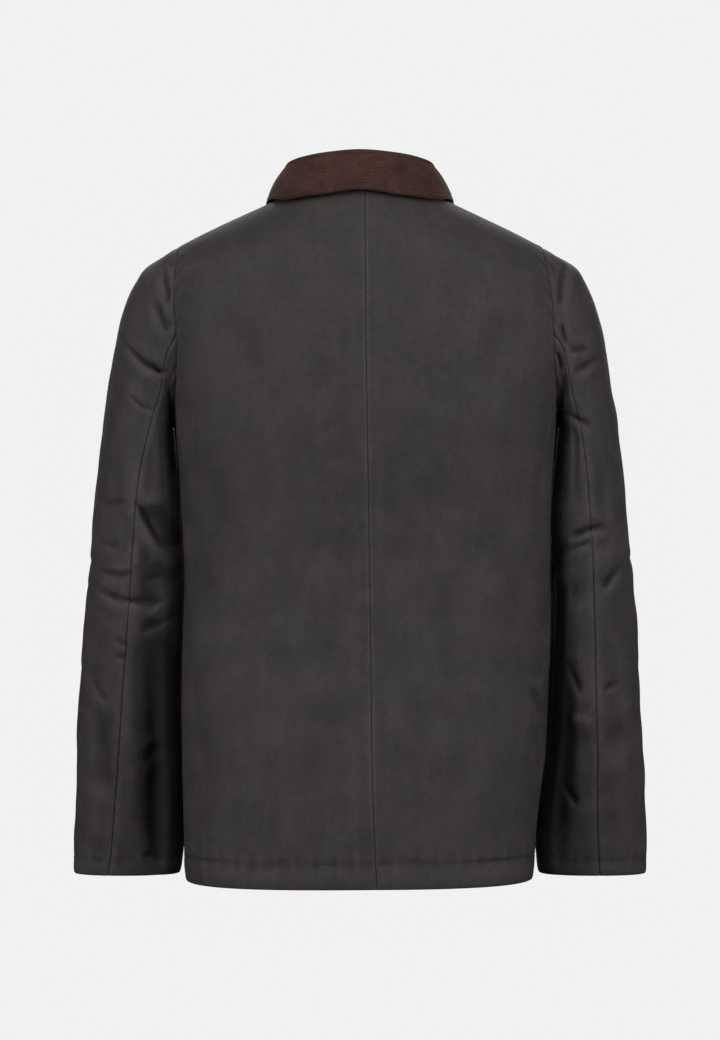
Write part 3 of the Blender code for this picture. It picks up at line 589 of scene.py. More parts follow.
# Creases of the back of the jacket: kind, half width, depth, raised lip and its
# side, then places (x, z) where they appear on the middle plane. All in mm.
SLEEVE_LEFT_CREASES = (
    ("trough", 4, 3.6, 0.35, 1, ((209, -64), (208, -81), (205, -96), (207, -108))),
    ("trough", 5.5, 3.4, 0.3, 1, ((220, -98), (213, -118), (205, -137))),
    ("trough", 4.5, 3.0, 0, 1, ((197, -60), (196, -74), (195, -90))),
    ("trough", 6, 4.2, 0.3, 1, ((262, -118), (250, -147), (234, -166), (218, -176), (204, -182))),
    ("trough", 4, 2.6, 0.2, 1, ((228, -170), (216, -177), (204, -177))),
    ("trough", 7, 4, 0, 1, ((214, -212), (212, -277), (208, -350))),
    ("trough", 7, 6.5, 0.5, 1, ((243, -310), (226, -341), (214, -360), (201, -377), (188, -396))),
    ("trough", 5.5, 3.6, 0.2, 1, ((291, -398), (276, -411), (264, -419), (247, -423), (221, -425), (207, -418), (195, -406))),
    ("trough", 4, 2.4, 0.3, -1, ((282, -384), (268, -392), (252, -394), (238, -388))),
    ("trough", 3.5, 2.0, 0.2, 1, ((286, -352), (270, -362), (254, -365))),
    ("trough", 3.5, 1.8, 0.2, 1, ((284, -312), (268, -318), (250, -316))),
    ("trough", 3, 1.6, 0.2, 1, ((248, -200), (234, -214), (216, -220))),
    ("trough", 3, 1.8, 0.2, -1, ((236, -396), (222, -398), (206, -392))),
    ("ridge", 5, 2.4, 0, 1, ((234, -442), (212, -430), (189, -413))),
    ("trough", 5.5, 3.4, 0.2, 1, ((238, -456), (214, -447), (190, -432))),
    ("trough", 3.5, 1.8, 0.2, 1, ((263, -462), (256, -467), (247, -471))),
    ("trough", 3.5, 1.6, 0.2, 1, ((264, -480), (257, -483), (248, -483))),
    ("trough", 15, 10, 0, 1, ((212, -440), (213, -529), (212, -614), (209, -740))),
    ("ridge", 7, 1.8, 0, 1, ((236, -580), (214, -569), (190, -553))),
    ("ridge", 7, 1.4, 0, 1, ((234, -609), (217, -598), (201, -583))),
    ("trough", 6, 1.6, 0, 1, ((235, -595), (214, -584), (193, -569))),
    ("trough", 4, 2, 0.2, 1, ((235, -694), (214, -697), (195, -693))),
    ("trough", 14, 2.6, 0, 1, ((282, -529), (274, -577), (273, -636))),
    ("trough", 14, 2.4, 0, 1, ((274, -229), (265, -282), (268, -347))),
    ("trough", 8, 2.4, 0.3, 1, ((295, -486), (280, -518), (268, -535))),
)
SLEEVE_RIGHT_CREASES = (
    ("trough", 4.5, 3.8, 0.35, -1, ((-219, -60), (-216, -86), (-213, -111))),
    ("trough", 4, 2.8, 0.2, -1, ((-215, -124), (-218, -137), (-221, -149))),
    ("trough", 4.5, 3.2, 0.35, 1, ((-223, -156), (-234, -154), (-246, -153))),
    ("trough", 5.5, 3.8, 0.4, 1, ((-228, -179), (-245, -169), (-261, -157))),
    ("trough", 4.5, 3.4, 0, 1, ((-209, -154), (-213, -165), (-215, -178))),
    ("trough", 5.5, 3.8, 0.45, 1, ((-210, -217), (-224, -224), (-235, -229), (-250, -238))),
    ("trough", 10, 11, 0, 1, ((-217, -222), (-220, -266), (-217, -328))),
    ("trough", 5.5, 5.5, 0.5, 1, ((-203, -361), (-227, -353), (-248, -346), (-268, -342))),
    ("trough", 4.5, 3.2, 0.3, 1, ((-212, -368), (-232, -364), (-251, -357))),
    ("trough", 6.5, 4.2, 0.4, 1, ((-259, -412), (-272, -395), (-285, -374))),
    ("trough", 10, 10, 0, 1, ((-222, -392), (-213, -428), (-203, -470))),
    ("trough", 6.5, 4.2, 0.4, 1, ((-216, -480), (-227, -503), (-238, -525))),
    ("trough", 3.5, 2.2, 0.2, 1, ((-259, -519), (-268, -515), (-279, -510))),
    ("trough", 5.5, 3.2, 0.3, 1, ((-216, -621), (-225, -632), (-234, -643))),
    ("trough", 14, 14, 0, 1, ((-208, -300), (-207, -422), (-206, -529), (-201, -745))),
    ("trough", 14, 2.4, 0, 1, ((-270, -250), (-263, -315), (-268, -379))),
    ("trough", 14, 2.4, 0, 1, ((-276, -464), (-270, -529), (-274, -603))),
    ("ridge", 8, 2.4, 0, 1, ((-220, -546), (-235, -552), (-250, -552))),
)
BACK_CREASES = (
    ("trough", 24, 2.4, 0, 1, ((141, -240), (152, -315), (162, -384), (168, -464))),
    ("ridge", 15, 0.9, 0, 1, ((37, -349), (58, -422), (80, -490))),
    ("ridge", 14, 0.6, 0, 1, ((55, -334), (75, -400), (97, -473))),
    ("trough", 24, 1.1, 0, 1, ((15, -507), (47, -582), (81, -659))),
    ("trough", 9, 2.0, 0, 1, ((-183, -511), (-189, -529), (-196, -548))),
    ("trough", 16, 1.6, 0, 1, ((175, -529), (165, -603), (171, -689))),
    ("trough", 22, 1.8, 0, 1, ((-150, -315), (-163, -422), (-156, -550))),
    ("trough", 30, 1.3, 0, 1, ((-75, -379), (-94, -486), (-86, -593))),
    ("trough", 26, 1.6, 0, 1, ((158, -101), (128, -133), (105, -186))),
    ("trough", 26, 1.4, 0, 1, ((-171, -101), (-146, -133), (-118, -197))),
)
# The same for the front, by plain x and z; the sleeves' entries are given for
# the wearer's left and mirrored, with small shifts, for the right.
FRONT_CREASES = (
    ("trough", 24, 2.6, 0, 1, ((120, -190), (128, -300), (118, -420))),
    ("trough", 22, 2.2, 0, 1, ((-128, -210), (-120, -330), (-132, -450))),
    ("ridge", 16, 1.6, 0, 1, ((60, -300), (78, -420), (70, -560))),
    ("ridge", 15, 1.5, 0, 1, ((-66, -280), (-84, -400), (-72, -540))),
    ("trough", 20, 2.0, 0, 1, ((150, -470), (128, -570), (96, -680))),
    ("trough", 19, 2.1, 0, 1, ((-152, -440), (-134, -560), (-104, -670))),
    ("trough", 9, 2.4, 0.3, 1, ((166, -120), (142, -150), (116, -168))),
    ("trough", 9, 2.2, 0.3, -1, ((-168, -112), (-146, -146), (-118, -160))),
    ("trough", 12, 1.6, 0, 1, ((24, -150), (30, -230), (26, -300))),
    ("trough", 12, 1.4, 0, 1, ((-30, -500), (-36, -580), (-28, -650))),
)
SLEEVE_FRONT_CREASES = (
    ("trough", 6, 4.0, 0.4, 1, ((196, -120), (216, -150), (238, -166))),
    ("trough", 6, 3.6, 0.4, 1, ((204, -176), (226, -190), (250, -196))),
    ("trough", 6.5, 4.6, 0.5, 1, ((198, -252), (222, -270), (252, -276), (272, -262))),
    ("trough", 8, 6.0, 0.5, 1, ((194, -330), (218, -352), (246, -362), (282, -352))),
    ("trough", 7, 6.4, 0.5, 1, ((200, -386), (226, -392), (258, -388), (290, -402))),
    ("ridge", 8, 3.4, 0, 1, ((200, -366), (230, -374), (264, -370))),
    ("trough", 7, 5.0, 0.5, 1, ((206, -428), (232, -444), (262, -446))),
    ("trough", 6, 3.8, 0.4, 1, ((246, -470), (270, -486), (300, -484))),
    ("trough", 7, 3.6, 0.3, 1, ((212, -520), (236, -546), (262, -560))),
    ("trough", 6, 3.0, 0.3, 1, ((226, -610), (252, -622), (282, -618))),
    ("trough", 13, 3.0, 0, 1, ((272, -110), (262, -180), (266, -250))),
    ("trough", 12, 2.4, 0, 1, ((284, -520), (292, -600), (290, -680))),
)
# Outer side of each sleeve, by y and z.
SLEEVE_SIDE_CREASES = (
    ("trough", 7, 4.2, 0.4, 1, ((-92, -352), (-60, -372), (-20, -380), (14, -372))),
    ("trough", 7, 3.8, 0.4, 1, ((-86, -400), (-50, -410), (-14, -404))),
    ("trough", 9, 3.4, 0.3, 1, ((-60, -160), (-36, -186), (-8, -196))),
    ("trough", 8, 2.8, 0.3, 1, ((-66, -470), (-40, -492), (-12, -500))),
    ("trough", 12, 2.4, 0, 1, ((-56, -540), (-48, -610), (-54, -680))),
    ("trough", 12, 2.0, 0, 1, ((-16, -90), (-22, -140), (-30, -200))),
)


# Painted shade on the cloth between the sleeves and the body, where shade falls: it darkens
# only the colour, through the deep attribute. Half width, strength, then places as for the creases. All in mm.
PAINTED_SHADE_LEFT = (
    (7, 7, ((203, -215), (201, -260), (199, -300))),
    (13, 9, ((228, -312), (212, -340), (196, -372))),
    (14, 4, ((226, -380), (208, -392), (194, -402))),
    (26, 9, ((208, -430), (208, -529), (207, -614), (204, -712))),
    (18, 3.6, ((226, -440), (228, -520), (226, -590), (218, -650))),
    (12, 3.5, ((232, -240), (228, -300), (236, -350))),
    (13, 6, ((228, -330), (229, -400), (226, -450), (224, -520))),
)
PAINTED_SHADE_RIGHT = (
    (8, 5, ((-219, -160), (-221, -210), (-222, -262))),
    (7, 7, ((-219, -205), (-214, -262), (-210, -330))),
    (10, 5, ((-226, -352), (-214, -372), (-204, -395))),
    (17, 8, ((-210, -390), (-207, -470), (-206, -560), (-202, -705))),
    (8, 4, ((-224, -480), (-226, -560), (-222, -640))),
)


def painted_shade(at, table):
    """Painted shade beside the body: how far below the open cloth these places count for the colour, in mm."""
    ridges = [("ridge", wide, -deep, 0, 1, places) for wide, deep, places in table]
    return crease_heights(at, ridges)


def seam_dip(d, wide=2.4, deep=0.9, puff=0.35):
    """The valley of a sewn seam, and the slight swell of its allowance beside it, in mm."""
    d = d / MM
    return -deep * np.exp(-(d / wide) ** 2) + puff * np.exp(-((d - 5.5) / 3.2) ** 2)


def stitched_line(d, at, deep=0.55, wide=1.1):
    return -deep * np.exp(-(((d - at) / MM) / wide) ** 2)


def body_cloth(face, side, grid, normal):
    """Outer surface of a back or front panel with its detail: (points, normals, height for the wear and painted shade,
    cloth thickness).
    """
    rows = denser(grid.shape[0] - 1, (0.06, 0.2, 0.45), (0.06, 0.2, 0.45), [161.1, 161.35, 161.5, 161.65, 161.9])
    cols = denser(grid.shape[1] - 1, (0.05, 0.12, 0.25, 0.45, 0.7, 1.3, 1.6, 1.85, 2.15, 2.4, 2.7), (0.06, 0.2, 0.45))
    points, normal = resampled(grid, rows, cols), unit(resampled(normal, rows, cols))
    left, right, top, bottom = edge_distances(points)
    ny = normal[..., 1]
    if face == "back":
        creases = crease_heights(seen(points), BACK_CREASES) * smooth((ny + 0.2) / 0.5)
    else:
        creases = crease_heights(points[..., [0, 2]] / MM, FRONT_CREASES) * smooth((-ny + 0.2) / 0.5)
    near = np.minimum(np.minimum(left, right), top)
    if face == "back":
        creases *= 0.35 + 0.65 * smooth(near / (14 * MM))
    wavy = 0.55 * ripple(points, 11, 0.17, stretch=(1, 1, 0.5)) + 0.22 * ripple(points, 12, 0.06, stretch=(1, 1, 0.7))
    height = creases + wavy * smooth(np.minimum(near, bottom) / (25 * MM))
    armhole_rows = (np.arange(len(rows)) < np.searchsorted(rows, 10 * FINE + 0.5))[:, None]
    pucker = 0.35 * np.sin(lengths(points, 0) / MM * 2 * math.pi / 19 + 1.3 * side) \
        + 0.2 * np.sin(lengths(points, 0) / MM * 2 * math.pi / 31)
    height += np.where(armhole_rows, seam_dip(right, 1.0, 0.3, 0.08), seam_dip(right, 2.0, 0.7, 0.25))
    height += pucker * np.exp(-(right / (9 * MM)) ** 2) * smooth(right / (3 * MM)) * armhole_rows
    height += seam_dip(top, 2.0, 0.7, 0.3)
    if face == "back":
        height += -0.55 * np.exp(-((left / MM) / 0.55) ** 2) + 0.06 * np.exp(-(((left / MM) - 2.0) / 1.2) ** 2)
        height += stitched_line(left, 3.6 * MM, 0.16 if side > 0 else 0.08, 0.8)
        along = lengths(points, 0) / MM
        height += 0.08 * np.sin(along * 2 * math.pi / 13 + side) * np.exp(-((left / MM - 3) / 6) ** 2)
    else:
        height += stitched_line(left, 6 * MM) - 0.5 * np.exp(-((left / MM) / 0.9) ** 2)
    # turned hem: stitched groove, soft roll below it, small drags between stitches
    along = lengths(points, 1) / MM
    drag = np.sin(along * 2 * math.pi / 17 + 0.7) + 0.6 * np.sin(along * 2 * math.pi / 9.3)
    height += stitched_line(bottom, HEM_BAND, 0.85, 1.2) + 0.25 * drag * np.exp(-((bottom - HEM_BAND) / (9 * MM)) ** 2)
    height += 0.5 * np.exp(-((bottom - 14 * MM) / (9 * MM)) ** 2) - 0.6 * np.exp(-(bottom / (1.4 * MM)) ** 2)
    thick = (1.6 + 0.9 * smooth((HEM_BAND + 1 * MM - bottom) / (2 * MM)) * smooth(bottom / (2 * MM))) * MM
    moved = points + normal * (CLOTH / 2 + height[..., None] * MM)
    # painted shade along the centre back seam and the side seam: these dips come after the surface is placed and darken
    # only the colour
    if face == "back":
        height = height - 2.6 * np.exp(-((left / MM) / 0.8) ** 2) - 0.2 * np.exp(-((right / MM) / 0.7) ** 2)
    if face == "back":     # the hem hangs a touch lower on the wearer's left
        moved[..., 2] -= (0.0055 * moved[..., 0] + 0.4 * MM) * smooth(1 - bottom / (120 * MM))
    return moved, normal, height, thick


def sleeve_cloth(side, grid, normal):
    """Outer surface of a whole sleeve, closed round, with its detail."""
    v_rows = denser(grid.shape[0] - 1, (0.06, 0.2, 0.45, 0.75), (0.06, 0.2, 0.45))
    ring = np.concatenate([grid, grid[:, :1]], axis=1)
    ring_n = np.concatenate([normal, normal[:, :1]], axis=1)
    seam_b = TOP_STEPS * SLEEVE_FINE
    cols = denser(20 * SLEEVE_FINE, (0.06, 0.2, 0.45), (0.06, 0.2, 0.45),
                  [seam_b - 0.45, seam_b - 0.2, seam_b - 0.06, seam_b + 0.06, seam_b + 0.2, seam_b + 0.45])
    points, normal = resampled(ring, v_rows, cols), unit(resampled(ring_n, v_rows, cols))
    at_b = int(np.searchsorted(cols, seam_b))
    points[:, -1], normal[:, -1] = points[:, 0], normal[:, 0]
    across, _, top, bottom = edge_distances(points)
    from_b = np.abs(across - across[:, at_b:at_b + 1])
    from_f = np.minimum(across, across[:, -1:] - across)
    nx, ny = normal[..., 0] * side, normal[..., 1]
    back = smooth((ny + 0.1) / 0.5)
    table = SLEEVE_LEFT_CREASES if side > 0 else SLEEVE_RIGHT_CREASES
    height = 1.3 * crease_heights(seen(points), table) * back * (1 - 0.85 * smooth((nx - 0.45) / 0.4))
    shift = np.array([0, 0]) if side > 0 else np.array([-4, 13])
    front_at = np.stack([points[..., 0] * side / MM, points[..., 2] / MM], -1) + shift
    height += 0.7 * crease_heights(front_at, SLEEVE_FRONT_CREASES) * smooth((-ny + 0.1) / 0.5) * (1 - 0.7 * smooth((nx - 0.45) / 0.4))
    side_at = np.stack([points[..., 1] / MM, points[..., 2] / MM], -1) + shift[::-1] * 0.7
    height += crease_heights(side_at, SLEEVE_SIDE_CREASES) * smooth((nx - 0.35) / 0.4) * (1 - 0.85 * back) * 0.6
    wavy = 0.9 * ripple(points, 21 + side, 0.11, stretch=(1, 1, 0.8)) + 0.4 * ripple(points, 31 + side, 0.045)
    height += wavy * smooth(top / (30 * MM)) * smooth(bottom / (30 * MM))
    height *= 0.3 + 0.7 * smooth(top / (7 * MM))
    # keep off the body: nothing swells towards it
    toward = smooth((-nx - 0.2) / 0.4)
    height *= 1 - 0.85 * toward
    height += seam_dip(from_b, 0.9, 0.7, 0.2) + seam_dip(from_f, 0.9, 0.7, 0.2)
    length = lengths(points, 0) / MM
    height += (0.12 * np.sin(length * 2 * math.pi / 15 + 2 * side) + 0.1 * np.sin(length * 2 * math.pi / 23)) \
        * np.exp(-(from_b / (7 * MM)) ** 2) * smooth(top / (20 * MM))
    # the sleeve head's allowance lifts it beside the armhole seam, with small puckers
    around = across / MM
    height += 0.2 * np.exp(-((top / MM - 6) / 4.0) ** 2) - 0.4 * np.exp(-((top / MM) / 1.0) ** 2)
    height += (0.22 * np.sin(around * 2 * math.pi / 17) + 0.2 * np.sin(around * 2 * math.pi / 29 + 1)) \
        * np.exp(-((top / MM - 5) / 7) ** 2)
    drag = np.sin(around * 2 * math.pi / 14 + 0.4) + 0.6 * np.sin(around * 2 * math.pi / 8.1)
    height += stitched_line(bottom, CUFF_BAND, 0.6, 1.3) + 0.2 * drag * np.exp(-((bottom - CUFF_BAND) / (8 * MM)) ** 2)
    height += 0.4 * np.exp(-((bottom - 8 * MM) / (6 * MM)) ** 2) - 0.6 * np.exp(-(bottom / (1.4 * MM)) ** 2)
    thick = (1.6 + 0.9 * smooth((CUFF_BAND + 1 * MM - bottom) / (2 * MM)) * smooth(bottom / (2 * MM))) * MM
    moved = points + normal * (CLOTH / 2 + height[..., None] * MM)
    # under the arm, towards the body: this comes after the surface is placed, so it moves nothing and only changes the
    # colour through the wear and shade attributes
    height += 1.6 * toward * np.exp(-((points[..., 2] / MM + 262) / 45) ** 2)
    # the sleeve head's top corner: this comes after the surface is placed, so it moves nothing and only changes the
    # colour through the wear and shade attributes
    head = np.hypot(points[..., 0] * side / MM - 226, points[..., 2] / MM + 66)
    height += 3.0 * np.exp(-(head / 13) ** 2) * smooth(top / (6 * MM))
    # the height that the wear and painted shade read: extra painted shade along the back seam and the armhole seam, in
    # the colour only
    wear_and_shade_height = height - 1.5 * np.exp(-((from_b / MM) / 0.75) ** 2) - 0.25 * np.exp(-((top / MM) / 0.7) ** 2)
    # painted shade where the sleeve lies beside the body: it darkens only the colour, through the deep attribute
    wear_and_shade_height += painted_shade(seen(points), PAINTED_SHADE_LEFT if side > 0 else PAINTED_SHADE_RIGHT) * smooth((ny + 0.3) / 0.4)
    return moved, normal, wear_and_shade_height, thick, at_b


# ------------------------------------------------------------------- meshes
def mesh_of(name, vertices, quads, uv=None, smooth_shade=True):
    mesh = bpy.data.meshes.new(name)
    mesh.vertices.add(len(vertices))
    mesh.vertices.foreach_set("co", np.asarray(vertices, np.float32).ravel())
    quads = np.asarray(quads, np.int32)
    size = quads.shape[1]
    mesh.loops.add(quads.size)
    mesh.loops.foreach_set("vertex_index", quads.ravel())
    mesh.polygons.add(len(quads))
    mesh.polygons.foreach_set("loop_start", np.arange(0, quads.size, size, dtype=np.int32))
    mesh.polygons.foreach_set("loop_total", np.full(len(quads), size, np.int32))
    mesh.polygons.foreach_set("use_smooth", np.full(len(quads), smooth_shade))
    mesh.update(calc_edges=True)
    if uv is not None:
        layer = mesh.uv_layers.new(name="cloth")
        layer.data.foreach_set("uv", np.asarray(uv, np.float32)[quads.ravel()].ravel())
    mesh.validate()
    obj = bpy.data.objects.new(name, mesh)
    bpy.context.scene.collection.objects.link(obj)
    return obj


def rim_order(rows, cols):
    top = list(range(cols))
    right = [i * cols + cols - 1 for i in range(1, rows)]
    bottom = [(rows - 1) * cols + j for j in range(cols - 2, -1, -1)]
    left = [i * cols for i in range(rows - 2, 0, -1)]
    return np.array(top + right + bottom + left)


def shell(name, outer, like, height, thick, pull=0.15 * MM, materials=()):
    """A closed cloth shell from its outer surface, with rounded free edges and small gaps at its seams."""
    rows, cols = outer.shape[:2]
    normal = like
    thick = np.broadcast_to(np.asarray(thick), outer.shape[:2])[..., None]
    flat = outer.reshape(-1, 3).copy()
    edge = rim_order(rows, cols)
    before, after = flat[np.roll(edge, 1)], flat[np.roll(edge, -1)]
    i, j = np.divmod(edge, cols)
    inside = flat[np.clip(i, 1, rows - 2) * cols + np.clip(j, 1, cols - 2)] - flat[edge]
    tangent = unit(after - before)
    inward = unit(inside - tangent * (inside * tangent).sum(-1, keepdims=True))
    flat[edge] += inward * pull
    outer = flat.reshape(rows, cols, 3)
    inner = outer - normal * thick
    # two bowed loops close the edge between the faces
    n_e, t_e = normal.reshape(-1, 3)[edge], thick.reshape(-1, 1)[edge]
    mid_1 = flat[edge] - n_e * t_e * 0.25 - inward * t_e * 0.16
    mid_2 = flat[edge] - n_e * t_e * 0.75 - inward * t_e * 0.16
    count, ring = rows * cols, len(edge)
    vertices = np.concatenate([flat, inner.reshape(-1, 3), mid_1, mid_2])
    r, c = np.meshgrid(np.arange(rows - 1), np.arange(cols - 1), indexing="ij")
    a = (r * cols + c).ravel()
    quads = np.stack([a, a + 1, a + cols + 1, a + cols], -1)
    cross = np.cross(flat[quads[:, 1]] - flat[quads[:, 0]], flat[quads[:, 3]] - flat[quads[:, 0]])
    forward = (cross * normal.reshape(-1, 3)[quads[:, 0]]).sum() > 0
    loops = [edge, 2 * count + np.arange(ring), 2 * count + ring + np.arange(ring), edge + count]
    sides = []
    for first, second in zip(loops[:-1], loops[1:]):
        sides.append(np.stack([first, second, np.roll(second, -1), np.roll(first, -1)], -1))
    sides = np.concatenate(sides)
    front, reverse = (quads, quads[:, ::-1] + count) if forward else (quads[:, ::-1], quads + count)
    # the rim walks the border clockwise when the faces wind forward
    sides = sides[:, ::-1] if not forward else sides
    across, down = lengths(outer, 1), lengths(outer, 0)
    uv = np.stack([across, down], -1).reshape(-1, 2)
    uv = np.concatenate([uv, uv, uv[edge], uv[edge]])
    obj = mesh_of(name, vertices, np.concatenate([front, reverse, sides]), uv)
    mesh = obj.data
    for material in materials:
        mesh.materials.append(material)
    index = np.zeros(len(mesh.polygons), np.int32)
    if len(materials) > 1:
        index[len(front):len(front) + len(reverse)] = 1
    mesh.polygons.foreach_set("material_index", index)
    # wear: how much a point stands out from the cloth around it, -1 to 1
    h = np.asarray(height)
    soft = h.copy()
    for _ in range(14):
        p = np.pad(soft, 1, mode="edge")
        soft = (p[:-2, 1:-1] + p[2:, 1:-1] + p[1:-1, :-2] + p[1:-1, 2:] + 2 * p[1:-1, 1:-1]) / 6
    proud = np.clip((h - soft) * 1.6, -1, 1).ravel()
    proud = np.concatenate([proud, proud * 0.3, proud[edge], proud[edge]])
    layer = mesh.attributes.new("proud", "FLOAT", "POINT")
    layer.data.foreach_set("value", proud.astype(np.float32))
    # deep: how far a point lies below the open cloth; the cloth's colour is darkened by it as painted shade in creases,
    # seam grooves and between sleeve and body
    deep = np.clip(h / 6.0, -1, 1).ravel()
    deep = np.concatenate([deep, deep * 0.3, deep[edge], deep[edge]])
    layer = mesh.attributes.new("deep", "FLOAT", "POINT")
    layer.data.foreach_set("value", deep.astype(np.float32))
    return obj, outer, grid_normals(outer, like)


def line_at(points, normal, edge, distance, trim=0):
    """A line that runs at one distance from an edge of a grid: its points and normals."""
    left, right, top, bottom = edge_distances(points)
    d = {"left": left, "right": right, "top": top, "bottom": bottom}[edge]
    p, n = points, normal
    if edge in ("top", "bottom"):
        d, p, n = d.T, p.transpose(1, 0, 2), n.transpose(1, 0, 2)
    if edge in ("right", "bottom"):
        d, p, n = d[:, ::-1], p[:, ::-1], n[:, ::-1]
    out_p, out_n = [], []
    for k in range(trim, len(d) - trim):
        out_p.append([np.interp(distance, d[k], p[k, :, c]) for c in range(3)])
        out_n.append([np.interp(distance, d[k], n[k, :, c]) for c in range(3)])
    return np.array(out_p), unit(np.array(out_n))


def stitches(name, line, normal, material, pitch=3.1 * MM, long=2.35 * MM, radius=0.27 * MM, sink=0.05 * MM, skip=()):
    """Single stitches along a line, each a small thread arch sunk at its ends."""
    along = np.concatenate([[0], np.cumsum(np.linalg.norm(np.diff(line, axis=0), axis=1))])
    count = int((along[-1] - 2 * MM) / pitch)
    middles = (np.arange(count) + 0.5) * pitch + (along[-1] - count * pitch) / 2
    spots = np.linspace(-0.5, 0.5, 4)
    at = middles[:, None] + spots[None] * long
    centre = np.stack([np.interp(at, along, line[:, k]) for k in range(3)], -1)
    up = unit(np.stack([np.interp(at, along, normal[:, k]) for k in range(3)], -1))
    lift = (radius * 0.9 + sink) * (1 - (2 * spots) ** 4 * 1.55)
    centre = centre + up * lift[None, :, None]
    direction = unit(centre[:, -1:] - centre[:, :1]) * np.ones((1, 4, 1))
    across = unit(np.cross(direction, up))
    lifted_up = np.cross(across, direction)
    angles = np.linspace(0, 2 * math.pi, 4, endpoint=False)
    wide = radius * np.array([0.6, 1.08, 1.08, 0.6])
    ring = centre[:, :, None] + wide[None, :, None, None] * (
        across[:, :, None] * np.cos(angles)[None, None, :, None] + lifted_up[:, :, None] * np.sin(angles)[None, None, :, None])
    vertices = ring.reshape(-1, 3)
    quads = [[s * 4 + k, s * 4 + (k + 1) % 4, (s + 1) * 4 + (k + 1) % 4, (s + 1) * 4 + k] for s in range(3) for k in range(4)]
    quads = np.array(quads + [[3, 2, 1, 0], [12, 13, 14, 15]])
    every = (np.arange(count) * 16)[:, None, None] + quads[None]
    obj = mesh_of(name, vertices, every.reshape(-1, 4))
    mesh = obj.data
    mesh.materials.append(material)
    return obj


# ---------------------------------------------------------------- materials
def new_material(name, roughness=0.6, specular=0.5):
    material = bpy.data.materials.new(name)
    material.use_nodes = True
    tree = material.node_tree
    shader = tree.nodes["Principled BSDF"]
    shader.inputs["Roughness"].default_value = roughness
    shader.inputs["Specular IOR Level"].default_value = specular
    return material, tree, shader


def node(tree, kind, **values):
    made = tree.nodes.new(kind)
    for key, value in values.items():
        if key.startswith("in_"):
            made.inputs[key[3:].replace("_", " ")].default_value = value
        else:
            setattr(made, key, value)
    return made


def noise(tree, vector, scale, detail=3.0, rough=0.55, distortion=0.0):
    made = node(tree, "ShaderNodeTexNoise", in_Scale=scale, in_Detail=detail, in_Roughness=rough, in_Distortion=distortion)
    tree.links.new(vector, made.inputs["Vector"])
    return made.outputs["Fac"]


def math_node(tree, operation, a, b=None, c=None, clamp=False):
    made = node(tree, "ShaderNodeMath", operation=operation, use_clamp=clamp)
    for k, value in enumerate((a, b, c)):
        if value is None:
            continue
        if isinstance(value, (int, float)):
            made.inputs[k].default_value = value
        else:
            tree.links.new(value, made.inputs[k])
    return made.outputs[0]


def spread(tree, value, low, high, to_low=0.0, to_high=1.0):
    made = node(tree, "ShaderNodeMapRange", interpolation_type="SMOOTHSTEP")
    tree.links.new(value, made.inputs["Value"])
    for key, number in (("From Min", low), ("From Max", high), ("To Min", to_low), ("To Max", to_high)):
        made.inputs[key].default_value = number
    return made.outputs["Result"]


def mixed(tree, share, a, b, blend="MIX"):
    made = node(tree, "ShaderNodeMix", data_type="RGBA", blend_type=blend)
    for key, value in ((0, share), (6, a), (7, b)):
        if isinstance(value, (int, float)):
            made.inputs[key].default_value = value
        elif isinstance(value, tuple):
            made.inputs[key].default_value = (*value, 1) if len(value) == 3 else value
        else:
            tree.links.new(value, made.inputs[key])
    return made.outputs[2]


def bumped(tree, height, strength, distance, after=None):
    made = node(tree, "ShaderNodeBump", in_Strength=strength, in_Distance=distance)
    tree.links.new(height, made.inputs["Height"])
    if after is not None:
        tree.links.new(after, made.inputs["Normal"])
    return made.outputs["Normal"]


